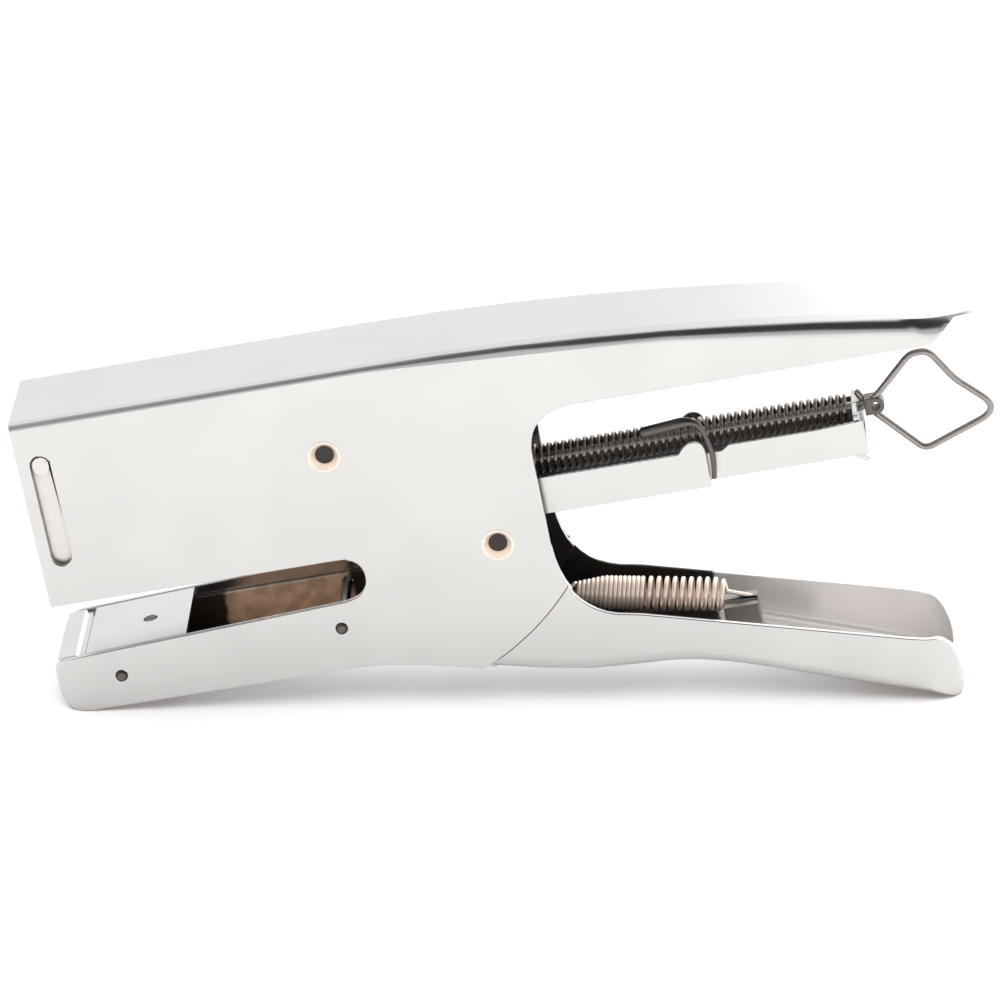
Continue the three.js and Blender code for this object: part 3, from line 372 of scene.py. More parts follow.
@dataclass(frozen=True)
class MetalFinish:
    """A metal surface: its clean colour, its worn edges, its grime with painted shade in hollows and how it was
    polished.

    Roughness goes from its polished value up by the lines, the haze and the grime, each with its own share.
    Some finishes also paint light and shade into a channel's inner faces.
    """

    name: str
    slot: Slot
    clean: Colour
    worn: Colour
    grime_and_shade: Colour
    roughness: float
    metallic: float = 1.0
    line_rough: float = 0.05
    haze_rough: float = 0.06
    line_pitch: float = 0.5
    wave_pitch: float = 14.0
    line_height: float = 0.0006
    wave_height: float = 0.01
    haze_cover: float = 0.4
    grime_and_shade_amount: float = 0.8
    grime_and_shade_reach: float = 4.0
    edge_width: float = 0.45
    mottle: float = 0.035
    stretch: tuple[float, float] | None = None
    # Painted shade: the colour outside the stretch.
    outside_shade: Colour = (0.05, 0.035, 0.03)
    inside_of: float = 0.0
    # Painted light: the lighter colour of a channel's inner faces.
    inner_painted_light: Colour = (0.60, 0.58, 0.56)
    film: float = 0.5
    # Painted shade: the colour on a channel's upward inner faces in its hollows.
    floor_shade: Colour | None = None

    def material(self) -> bpy.types.Material:
        """Builds the material, or returns it if it has been built.

        Returns:
            The material of this finish.
        """
        found = bpy.data.materials.get(self.name)
        if found:
            return found
        made = bpy.data.materials.new(self.name)
        made.use_nodes = True
        kit = NodeKit(made.node_tree)
        grain = kit.node("Group", node_tree=GROUPS["grain"])
        grain.inputs["Line Pitch"].default_value = self.line_pitch
        grain.inputs["Wave Pitch"].default_value = self.wave_pitch
        marks = kit.node("Group", node_tree=GROUPS["handling"])
        marks.inputs["Cover"].default_value = self.haze_cover
        wear = kit.node("Group", node_tree=GROUPS["wear"])
        wear.inputs["Width"].default_value = self.edge_width * MM
        recess = kit.node("Group", node_tree=GROUPS["recess"])
        recess.inputs["Reach"].default_value = self.grime_and_shade_reach * MM
        recess.inputs["Amount"].default_value = self.grime_and_shade_amount
        haze, worn, grime_and_shade_mask = marks.outputs["Haze"], wear.outputs["Worn"], recess.outputs["Shade And Grime"]
        lines, waves = grain.outputs["Lines"], grain.outputs["Waves"]

        rough = kit.math("MULTIPLY_ADD", lines, self.line_rough, self.roughness - 0.5 * self.line_rough)
        rough = kit.math("MULTIPLY_ADD", haze, self.haze_rough, rough)
        rough = kit.math("MULTIPLY_ADD", grime_and_shade_mask, 0.25, rough, clamp=True)

        shaded = tuple((1 - self.mottle) * c for c in self.clean)
        toned = kit.mix(kit.span(waves, 0.35, 0.65), self.clean, shaded)
        edged = kit.mix(worn, toned, self.worn)
        # Painted shade: the grime colour darkens corners and hollows found by ambient occlusion, along with
        # real grime.
        colour = kit.mix(grime_and_shade_mask, edged, self.grime_and_shade)
        metallic = kit.math("MULTIPLY_ADD", grime_and_shade_mask, -self.film * self.metallic, self.metallic)
        inside = None
        if self.inside_of:
            channel = kit.node("Group", node_tree=GROUPS["inside"])
            channel.inputs["Half Width"].default_value = self.inside_of * MM
            inside = channel.outputs["Inside"]
            # Painted light: the channel's inner faces take a lighter colour that stands in for the bright
            # reflections inside it.
            colour = kit.mix(inside, colour, self.inner_painted_light)
            metallic = kit.math("MULTIPLY_ADD", inside, -self.film, metallic, clamp=True)
            rough = kit.math("MULTIPLY_ADD", inside, 0.12, rough)
        # Painted shade: a near-black colour on the upward inner faces deep in the lever's channel.
        if self.floor_shade:
            share = recess.outputs["Floor Shade"]
            if inside:
                share = kit.math("MULTIPLY", share, inside)
            colour = kit.mix(share, colour, self.floor_shade)
        # Painted shade: outside the stretch the colour turns near-black, for the shadow behind the jaw's anvil
        # and the shade deep in the lever's channel.
        if self.stretch:
            shade_zone = kit.node("Group", node_tree=GROUPS["shade_zone"])
            shade_zone.inputs["From"].default_value, shade_zone.inputs["To"].default_value = self.stretch
            share = shade_zone.outputs["Shade Outside"]
            if inside:
                share = kit.math("MULTIPLY", share, inside)
            colour = kit.mix(share, colour, self.outside_shade)

        soft = kit.node("Bump", Height=waves, Strength=1.0, Distance=self.wave_height * MM)
        fine = kit.node("Bump", Height=lines, Strength=1.0, Distance=self.line_height * MM,
                        Normal=soft.outputs[0])
        shader = kit.node("BsdfPrincipled", Base_Color=colour, Metallic=metallic, Roughness=rough,
                          Normal=fine.outputs[0])
        kit.node("OutputMaterial", Surface=shader.outputs[0])
        return made


NICKEL = MetalFinish("nickel_plate", Slot.PLATED, (0.56, 0.553, 0.545), (0.50, 0.48, 0.46), (0.24, 0.20, 0.18),
                     0.20)
NICKEL_INNER = MetalFinish("nickel_plate_thin", Slot.PLATED, (0.60, 0.58, 0.56), (0.55, 0.53, 0.50),
                           (0.24, 0.20, 0.17), 0.28, grime_and_shade_amount=0.6)
# The lever's finish paints light and shade into its channel: shade ahead of x = 111 mm, lighter inner faces
# behind it and shade on its floor.
LEVER_NICKEL = MetalFinish("nickel_plate_lever", Slot.PLATED, (0.55, 0.543, 0.535), (0.50, 0.48, 0.46),
                           (0.24, 0.20, 0.18), 0.20, grime_and_shade_amount=1.0, grime_and_shade_reach=5.0,
                           stretch=(111.0, 400.0), outside_shade=(0.035, 0.03, 0.027), inside_of=10.5,
                           inner_painted_light=(0.80, 0.77, 0.75), film=0.5, floor_shade=(0.05, 0.043, 0.04))
# The liner's finish paints shade outside 26.6 to 48.8 mm, behind the anvil and further back in the jaw.
WARM_LINER = MetalFinish("warm_unplated_steel", Slot.LINER, (1.0, 0.75, 0.57), (1.0, 0.86, 0.70),
                         (0.40, 0.26, 0.19), 0.45, metallic=0.25, line_rough=0.12, haze_cover=0.8,
                         grime_and_shade_amount=0.6, grime_and_shade_reach=1.5, mottle=0.3, wave_pitch=2.5,
                         stretch=(26.6, 48.8))
BRASS = MetalFinish("pale_brass", Slot.BRASS, (0.96, 0.80, 0.69), (0.96, 0.84, 0.75), (0.60, 0.42, 0.32),
                    0.32, metallic=0.3, grime_and_shade_amount=0.5, grime_and_shade_reach=1.0, edge_width=0.2)
# Painted shade: near-black for the bottoms of the rivet cups.
CUP_SHADE = MetalFinish("cup_shade", Slot.BRASS, (0.035, 0.028, 0.025), (0.05, 0.04, 0.035), (0.02, 0.015, 0.013),
                   0.6, metallic=0.2, edge_width=0.1, grime_and_shade_reach=1.0)
BRIGHT_STEEL = MetalFinish("bright_steel", Slot.STEEL, (0.50, 0.49, 0.475), (0.62, 0.61, 0.59),
                           (0.12, 0.10, 0.09), 0.24, edge_width=0.2, grime_and_shade_reach=2.0)
DARK_STEEL = MetalFinish("dark_steel", Slot.STEEL, (0.12, 0.11, 0.105), (0.22, 0.21, 0.20), (0.05, 0.04, 0.035),
                         0.3, edge_width=0.2, grime_and_shade_reach=2.0)
GREY_STEEL = MetalFinish("grey_steel", Slot.STEEL, (0.30, 0.285, 0.275), (0.42, 0.40, 0.38), (0.12, 0.10, 0.09),
                         0.34, edge_width=0.2, grime_and_shade_reach=2.0)
RETURN_WIRE = MetalFinish("warm_spring_wire", Slot.SPRING, (0.95, 0.80, 0.70), (0.95, 0.84, 0.76),
                          (0.30, 0.21, 0.17), 0.33, metallic=0.55, line_pitch=0.2, edge_width=0.1,
                          grime_and_shade_reach=1.2)
RING_WIRE = MetalFinish("worn_ring_wire", Slot.STEEL, (0.30, 0.275, 0.26), (0.48, 0.45, 0.42),
                        (0.08, 0.06, 0.05), 0.27, line_pitch=0.3, edge_width=0.1, grime_and_shade_reach=1.5)
SPRING_WIRE = MetalFinish("oiled_spring_wire", Slot.SPRING, (0.27, 0.235, 0.205), (0.46, 0.42, 0.38),
                          (0.05, 0.035, 0.03), 0.27, line_pitch=0.2, edge_width=0.1, grime_and_shade_reach=1.5)
STAPLE_WIRE = MetalFinish("zinc_staple_wire", Slot.STEEL, (0.62, 0.62, 0.61), (0.7, 0.7, 0.68),
                          (0.25, 0.22, 0.2), 0.3, edge_width=0.1, grime_and_shade_reach=1.0)


# ---- mesh helpers ----------------------------------------------------------------------------------------


def show(name: str, mesh: bpy.types.Mesh, finish: MetalFinish, body: str | None,
         nodes: Sequence[str]) -> bpy.types.Object:
    """Puts a finished mesh in the scene.

    Args:
        name: the piece's name.
        mesh: its mesh, in the frame's metres.
        finish: the metal that it is made of.
        body: the body that it rides on, or None to leave it unattached.
        nodes: the frame's nodes that it stands for.

    Returns:
        The new object.
    """
    piece = bpy.data.objects.new(name, mesh)
    bpy.context.scene.collection.objects.link(piece)
    mesh.materials.clear()
    mesh.materials.append(finish.material())
    if body:
        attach(piece, body)
    if nodes:
        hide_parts(*nodes)
    LOG.info("%s: %d faces on body %s", name, len(mesh.polygons), body)
    return piece


def settle(mesh: bpy.types.Mesh, degrees: float = 35.0) -> bpy.types.Mesh:
    """Shades a mesh smooth but for its corners above an angle, and returns it."""
    mesh.shade_smooth()
    mesh.set_sharp_from_angle(angle=math.radians(degrees))
    return mesh


def mesh_from(bm: bmesh.types.BMesh, name: str, in_tool_axes: bool = True) -> bpy.types.Mesh:
    """Ends a bmesh as a mesh in the frame's metres, with its faces turned out."""
    bmesh.ops.recalc_face_normals(bm, faces=bm.faces)
    mesh = bpy.data.meshes.new(name)
    bm.to_mesh(mesh)
    bm.free()
    if in_tool_axes:
        mesh.transform(AXES.matrix())
    return mesh


def evaluated(mesh: bpy.types.Mesh, prepare: Callable[[bpy.types.Object], None]) -> bpy.types.Mesh:
    """Applies modifiers to a mesh.

    Args:
        mesh: the mesh to change.
        prepare: adds the modifiers to a passing object that holds the mesh.

    Returns:
        A new mesh with the modifiers applied.
    """
    holder = bpy.data.objects.new("holder", mesh)
    bpy.context.scene.collection.objects.link(holder)
    prepare(holder)
    graph = bpy.context.evaluated_depsgraph_get()
    made = bpy.data.meshes.new_from_object(holder.evaluated_get(graph), depsgraph=graph)
    bpy.data.objects.remove(holder)
    return made


def seam_share(place: Vector) -> float:
    """How much of its rounding an edge keeps: little along the close seam between the head and the lever."""
    middle = AXES.at(LEVER_PIVOT[0], 0.0, LEVER_PIVOT[1])
    reach = math.hypot(place.x - middle.x, place.z - middle.z) / MM
    return SEAM_ROUNDING if abs(reach - SEAM_RADIUS) < SEAM_ZONE else 1.0


def round_edges(mesh: bpy.types.Mesh, width: float, segments: int = 2, degrees: float = 30.0) -> bpy.types.Mesh:
    """Rounds a mesh's edges.

    Args:
        mesh: the mesh, in metres.
        width: the width of the rounding in millimetres.
        segments: how many faces it has.
        degrees: the least angle of an edge that is rounded.

    Returns:
        The rounded mesh, shaded smooth.
    """
    bm = bmesh.new()
    bm.from_mesh(mesh)
    weight = bm.edges.layers.float.new("bevel_weight_edge")
    for edge in bm.edges:
        if len(edge.link_faces) == 2 and edge.calc_face_angle() > math.radians(degrees):
            edge[weight] = min(seam_share(corner.co) for corner in edge.verts)
    bm.to_mesh(mesh)
    bm.free()

    def prepare(holder: bpy.types.Object) -> None:
        """Adds the rounding and evens out the shading of the flats."""
        bevel = holder.modifiers.new("round", "BEVEL")
        bevel.width = width * MM
        bevel.segments = segments
        bevel.limit_method = "WEIGHT"
        bevel.use_clamp_overlap = False
        bevel.harden_normals = False
        bevel.miter_outer = "MITER_ARC"
        weigh = holder.modifiers.new("weigh", "WEIGHTED_NORMAL")
        weigh.keep_sharp = True
        weigh.weight = 80

    mesh.shade_smooth()
    return evaluated(mesh, prepare)


def close_seam(bm: bmesh.types.BMesh) -> None:
    """Draws the lever's edge beside the seam out until the seam is all but closed."""
    middle = AXES.at(LEVER_PIVOT[0], 0.0, LEVER_PIVOT[1])
    radius = SEAM_RADIUS - SEAM_LEFT
    for corner in bm.verts:
        out = Vector((corner.co.x - middle.x, 0.0, corner.co.z - middle.z))
        if abs(out.length / MM - radius) < SEAM_REACH:
            corner.co += out.normalized() * (radius * MM - out.length)


def sheet_from_node(node: str, width: float, merge: float = 0.02,
                    reshape: Callable[[bmesh.types.BMesh], None] | None = None) -> bpy.types.Mesh:
    """Turns a sheet-metal node of the frame into a mesh with clean flats and rounded edges.

    Args:
        node: the frame's node.
        width: the width of the rounding in millimetres.
        merge: points closer than this, in millimetres, become one.
        reshape: a change to the node's shape before its edges are rounded, or None.

    Returns:
        The finished mesh, in the frame's metres.
    """
    bm = bmesh.new()
    bm.from_mesh(frame["nodes"][node].data)
    bmesh.ops.remove_doubles(bm, verts=bm.verts, dist=merge * MM)
    bmesh.ops.dissolve_limit(bm, angle_limit=math.radians(0.8), verts=bm.verts, edges=bm.edges)
    bmesh.ops.dissolve_degenerate(bm, dist=merge * MM, edges=bm.edges)
    if reshape:
        reshape(bm)
    mesh = mesh_from(bm, node + "_sheet", in_tool_axes=False)
    return round_edges(mesh, width)


def dress(name: str, node: str, edge: float, finish: MetalFinish, body: str,
          reshape: Callable[[bmesh.types.BMesh], None] | None = None) -> None:
    """Shows a node of the frame with rounded edges, a new name and its finish."""
    show(name, sheet_from_node(node, edge, reshape=reshape), finish, body, [node])


def sweep(path: Sequence[Vector], radius: float | Callable[[Vector], float],
          sides: int = 12) -> bmesh.types.BMesh:
    """A round bar along a path, with domed ends.

    Args:
        path: points of the centreline, in millimetres in the tool's axes.
        radius: the bar's radius, or a function of the place on the path that gives it.
        sides: faces round the bar.

    Returns:
        The bar as a bmesh.
    """
    points = [Vector(p) for p in path]
    count = len(points)
    size = radius if callable(radius) else (lambda _place: radius)
    bm = bmesh.new()
    tangents = [(points[min(i + 1, count - 1)] - points[max(i - 1, 0)]).normalized() for i in range(count)]
    side = tangents[0].orthogonal().normalized()
    rings = []

    def ring(centre: Vector, tangent: Vector, r: float) -> list:
        """One ring of points square to the path."""
        across = side.cross(tangent).normalized()
        turns = [2 * math.pi * k / sides for k in range(sides)]
        return [bm.verts.new(centre + r * (math.cos(a) * side + math.sin(a) * across)) for a in turns]

    for i, (centre, tangent) in enumerate(zip(points, tangents)):
        side = (side - tangent * side.dot(tangent)).normalized()
        r = size(centre)
        if i == 0:
            rings.append(ring(centre - tangent * 0.5 * r, tangent, 0.7 * r))
        rings.append(ring(centre, tangent, r))
        if i == count - 1:
            rings.append(ring(centre + tangent * 0.5 * r, tangent, 0.7 * r))
    for first, second in zip(rings, rings[1:]):
        for k in range(sides):
            bm.faces.new((first[k], first[(k + 1) % sides], second[(k + 1) % sides], second[k]))
    bm.faces.new(list(reversed(rings[0])))
    bm.faces.new(rings[-1])
    return bm


def rounded(corners: Sequence[Corner], steps: int = 8) -> list[tuple[float, float]]:
    """A path of straight legs with rounded corners.

    Args:
        corners: x, z and how far from the corner its rounding begins, in order; the ends have none.
        steps: how many steps there are round a corner.

    Returns:
        The path's (x, z) points.
    """
    places = [Vector(corner[:2]) for corner in corners]
    path = [places[0]]
    for before, place, after, corner in zip(places, places[1:], places[2:], corners[1:]):
        start, end = (place + (other - place).normalized() * corner[2] for other in (before, after))
        for k in range(steps + 1):
            t = k / steps
            path.append((1 - t) ** 2 * start + 2 * t * (1 - t) * place + t ** 2 * end)
    return [tuple(point) for point in (*path, places[-1])]


def turned(profile: Sequence[tuple[float, float]], centre: Point, axis: Vector,
           sides: int = 32) -> bmesh.types.BMesh:
    """A turned solid from a profile that starts and ends on its axis.

    Args:
        profile: (radius, height) points in millimetres.
        centre: where height 0 lies, in the tool's axes.
        axis: the direction of growing height, in the tool's axes.
        sides: faces round the solid.

    Returns:
        The solid as a bmesh.
    """
    bm = bmesh.new()
    turn = axis.to_track_quat("Z", "Y").to_matrix()
    base = Vector(centre)
    rings = []
    for r, h in profile:
        if r < 1e-6:
            rings.append([bm.verts.new(base + turn @ Vector((0, 0, h)))])
            continue
        angles = [2 * math.pi * k / sides for k in range(sides)]
        around = [Vector((r * math.cos(a), r * math.sin(a), h)) for a in angles]
        rings.append([bm.verts.new(base + turn @ place) for place in around])
    for first, second in zip(rings, rings[1:]):
        for k in range(sides):
            n = (k + 1) % sides
            low = [first[i % len(first)] for i in (k, n)]
            high = [second[i % len(second)] for i in (n, k)]
            unique = list(dict.fromkeys([*low, *high]))
            if len(unique) > 2:
                bm.faces.new(unique)
    return bm


def joined(parts: Iterable[bmesh.types.BMesh]) -> bmesh.types.BMesh:
    """Puts several bmeshes into one."""
    whole = bmesh.new()
    for part in parts:
        mesh = bpy.data.meshes.new("part")
        part.to_mesh(mesh)
        part.free()
        whole.from_mesh(mesh)
        bpy.data.meshes.remove(mesh)
    return whole


# ---- sub-assemblies --------------------------------------------------------------------------------------


@dataclass
class Head:
    """The folded head with its upper handle and jaw, its front guide and the liner and anvil in the jaw."""

    rivet_radius: float = 0.85
    rivet_rise: float = 0.2
    rivet_root: float = 0.1
    rivet_proud: float = 0.02
    rivets: tuple[tuple[float, float], ...] = ((9.3, -15.3), (48.2, -13.2))
    anvil_front: float = 0.35
    anvil_reach: float = 1.6
    end_from: float = 152.5
    end_length: float = 10.5
    end_cuts: int = 7
    near_draw: float = 5.2
    far_draw: float = 2.4

    def build(self) -> None:
        """Builds the sheet pieces, the rivets and the screw."""
        dress("head_shell", "body_shell", FOLD_EDGE, NICKEL, "body", self.taper_end)
        dress("front_guide", "nose_guide", SHEET_EDGE, NICKEL, "body")
        dress("jaw_channel", "jaw_liner", SHEET_EDGE, WARM_LINER, "body")
        anvil = sheet_from_node("anvil_plate", SHEET_EDGE)
        self.draw_out(anvil)
        show("anvil", anvil, NICKEL, "body", ["anvil_plate"])
        dress("anvil_screw_head", "anvil_screw", SCREW_EDGE, DARK_STEEL, "body")
        self.build_rivets()

    def taper_end(self, bm: bmesh.types.BMesh) -> None:
        """Draws the sides of the upper handle's end inward along a curve, as seen from above."""
        for cut in range(self.end_cuts):
            place = AXES.at(self.end_from + self.end_length * cut / self.end_cuts, 0.0, 0.0)
            parts = [*bm.verts, *bm.edges, *bm.faces]
            bmesh.ops.bisect_plane(bm, geom=parts, plane_co=place, plane_no=AXES.along)
        for corner in bm.verts:
            along = max(0.0, AXES.along.dot(corner.co - AXES.origin) / MM - self.end_from)
            draw = self.near_draw if corner.co.y < 0 else self.far_draw
            corner.co.y *= 1.0 - draw / HALF_WIDTH * (along / self.end_length) ** 2

    def draw_out(self, mesh: bpy.types.Mesh) -> None:
        """Draws the anvil's front edge out to the front wall of the jaw."""
        along = [(AXES.along.dot(corner.co - AXES.origin) / MM, corner) for corner in mesh.vertices]
        front = min(place for place, _corner in along)
        for place, corner in along:
            if place < front + self.anvil_front:
                corner.co -= AXES.along * self.anvil_reach * MM

    def build_rivets(self) -> None:
        """Builds the two rivets through the jaw, each with a domed head outside both cheeks."""
        for name, (x, z) in zip(("jaw_rivet_front", "jaw_rivet_rear"), self.rivets):
            parts = [self.rivet_head(x, z, side) for side in (-1, 1)]
            shank = [Vector((x, y, z)) for y in (-HALF_WIDTH, 0, HALF_WIDTH)]
            parts.append(sweep(shank, self.rivet_radius, 20))
            mesh = settle(mesh_from(joined(parts), name))
            show(name + "_domed", mesh, DARK_STEEL, "body", [name])

    def rivet_head(self, x: float, z: float, side: int) -> bmesh.types.BMesh:
        """One domed head on the outside of a cheek."""
        r, h, root = self.rivet_radius, self.rivet_rise, -self.rivet_root
        dome = [(r * math.cos(a), h * math.sin(a)) for a in (0.35 * k for k in range(5))]
        seat = (x, side * (HALF_WIDTH + self.rivet_proud), z)
        return turned([(0, root), (r, root), *dome, (0, h)], seat, Vector((0, side, 0)))


@dataclass
class Pivots:
    """The two cupped rivets that are the lever's and the magazine's pivots, with their spacer tubes."""

    shank: float = 2.4
    lip: float = 2.75
    cup: float = 2.6
    well: float = 1.6
    depth: float = 1.25
    rise: float = 0.16
    slope: float = 0.25
    rim: float = 0.3
    shade_dish_rise: float = 0.12

    def build(self) -> None:
        """Builds both rivets and dresses the tubes on them."""
        places = {"lever_pin": LEVER_PIVOT, "magazine_pin": MAGAZINE_PIVOT}
        for node, (x, z) in places.items():
            parts = [self.cupped_end(x, z, side) for side in (-1, 1)]
            mesh = settle(mesh_from(joined(parts), node), 50.0)
            show(node + "_cupped", mesh, BRASS, "body", [node])
            # Painted shade: a near-black dish at the bottom of each cup stands in for the shade inside it.
            cup_shades = joined(self.cup_shade_dish(x, z, side) for side in (-1, 1))
            show(node + "_cup_shades", settle(mesh_from(cup_shades, node + "_cup_shade_dish"), 50.0), CUP_SHADE, "body", [])
        tubes = {"lever_bush": "lever", "magazine_bush_near": "body", "magazine_bush_far": "body"}
        for node, body in tubes.items():
            dress(node + "_tube", node, SHEET_EDGE, BRIGHT_STEEL, body)

    def cupped_end(self, x: float, z: float, side: int) -> bmesh.types.BMesh:
        """Half of a tubular rivet: shank, thin lip and the cup inside it."""
        top = self.rise
        rolled = 0.5 * (self.lip - self.cup)
        middle = 0.5 * (self.lip + self.cup)
        curl = 0.5 * top
        angles = [0.52 * k for k in range(6)]
        arc = [(middle + rolled * math.cos(a), curl + curl * math.sin(a)) for a in angles]
        cup = [(self.cup, 0.0), (self.cup - self.slope, -self.rim),
               (self.well + 0.5 * self.rim, self.rim - self.depth), (self.well, -self.depth), (0, -self.depth)]
        shank = [(0, -HALF_WIDTH), (self.shank, -HALF_WIDTH), (self.shank, 0.01), (self.lip, 0.01)]
        return turned([*shank, *arc, *cup], (x, side * HALF_WIDTH, z), Vector((0, side, 0)), 40)

    def cup_shade_dish(self, x: float, z: float, side: int) -> bmesh.types.BMesh:
        """A near-black shallow dish that covers the bottom of one cup: painted shade in the cup."""
        r, low, high = self.well - 0.02, 0.02 - self.depth, 0.02 - self.depth + self.shade_dish_rise
        profile = [(0, low), (r, low), (r, high), (0.6 * r, low + 0.4 * self.shade_dish_rise), (0, low + 0.25 * self.shade_dish_rise)]
        return turned(profile, (x, side * HALF_WIDTH, z), Vector((0, side, 0)), 32)


@dataclass
class Lever:
    """The lower squeeze lever with the clip that holds its spring."""

    post_top: float = 0.5
    post_drop: float = 1.6
    post_front: float = 116.4
    post_reach: float = 3.6

    def build(self) -> None:
        """Builds the lever, its clip and the clip's rivet."""
        dress("squeeze_lever", "lower_lever", FOLD_EDGE, LEVER_NICKEL, "lever", close_seam)
        dress("spring_anchor", "spring_clip", SHEET_EDGE, GREY_STEEL, "lever", self.thicken_post)
        dress("anchor_rivet", "clip_rivet", SCREW_EDGE, BRIGHT_STEEL, "lever")

    def thicken_post(self, bm: bmesh.types.BMesh) -> None:
        """Turns the clip's post into a low block by moving its front face forward and its top down."""
        top = max(AXES.up.dot(corner.co) for corner in bm.verts)
        for corner in bm.verts:
            if top - AXES.up.dot(corner.co) < self.post_top * MM:
                corner.co -= AXES.up * self.post_drop * MM
            if AXES.along.dot(corner.co - AXES.origin) / MM < self.post_front:
                corner.co -= AXES.along * self.post_reach * MM


@dataclass
class Hammer:
    """The sliding hammer with its pin and the blade that drives the staple."""

    def build(self) -> None:
        """Builds the hammer's pieces."""
        dress("hammer_block", "hammer", BLOCK_EDGE, NICKEL_INNER, "hammer")
        dress("hammer_cross_pin", "hammer_pin", BLOCK_EDGE, BRIGHT_STEEL, "hammer")
        dress("staple_driver", "driver_blade", THIN_EDGE, BRIGHT_STEEL, "hammer")


@dataclass
class Magazine:
    """The tilting magazine with its rail and staples, and the drawer that pulls out of its tail."""

    end_from: float = 138.0
    end_height: float = 8.0
    end_drop: float = 0.9
    catch_y: float = -7.75
    catch: tuple[Corner, ...] = (
        (104.8, 12.0, 0.0), (114.2, 12.9, 2.9), (116.0, 6.2, 3.4), (115.3, 1.9, 0.0))
    catch_stout: float = 0.95
    catch_thin: float = 0.45
    bend_from: float = 111.5
    bend_length: float = 3.5

    def build(self) -> None:
        """Builds the magazine's and the drawer's pieces."""
        dress("magazine_sleeve", "magazine_channel", SHEET_EDGE, NICKEL, "magazine")
        dress("staple_guide", "staple_rail", RAIL_EDGE, BRIGHT_STEEL, "magazine")
        dress("staples", "staple_strip", THIN_EDGE, STAPLE_WIRE, "magazine")
        drawer = sheet_from_node("drawer_channel", SHEET_EDGE)
        self.lower_end(drawer)
        show("drawer", drawer, NICKEL, "drawer", ["drawer_channel"])
        catch = sweep([Vector((x, self.catch_y, z)) for x, z in rounded(self.catch)], self.catch_wire, 12)
        show("sleeve_catch", settle(mesh_from(catch, "sleeve_catch"), 60.0), DARK_STEEL, "magazine", [])
        dress("pusher_block", "pusher", BLOCK_EDGE, DARK_STEEL, "pusher")
        dress("drawer_rod", "follower_rod", BLOCK_EDGE, BRIGHT_STEEL, "drawer")
        dress("rod_head", "ring_clip", BLOCK_EDGE, DARK_STEEL, "drawer")

    def catch_wire(self, place: Vector) -> float:
        """The radius of the catch at a place: stout over the sleeve, thin down its side."""
        bent = min(1.0, max(0.0, (place.x - self.bend_from) / self.bend_length))
        return self.catch_stout + bent * (self.catch_thin - self.catch_stout)

    def lower_end(self, mesh: bpy.types.Mesh) -> None:
        """Lowers the top of the drawer's end plate to just above the rod."""
        for corner in mesh.vertices:
            place = corner.co - AXES.origin
            over = AXES.up.dot(place) / MM - self.end_height
            if AXES.along.dot(place) / MM > self.end_from and over > 0:
                corner.co -= AXES.up * over * self.end_drop * MM


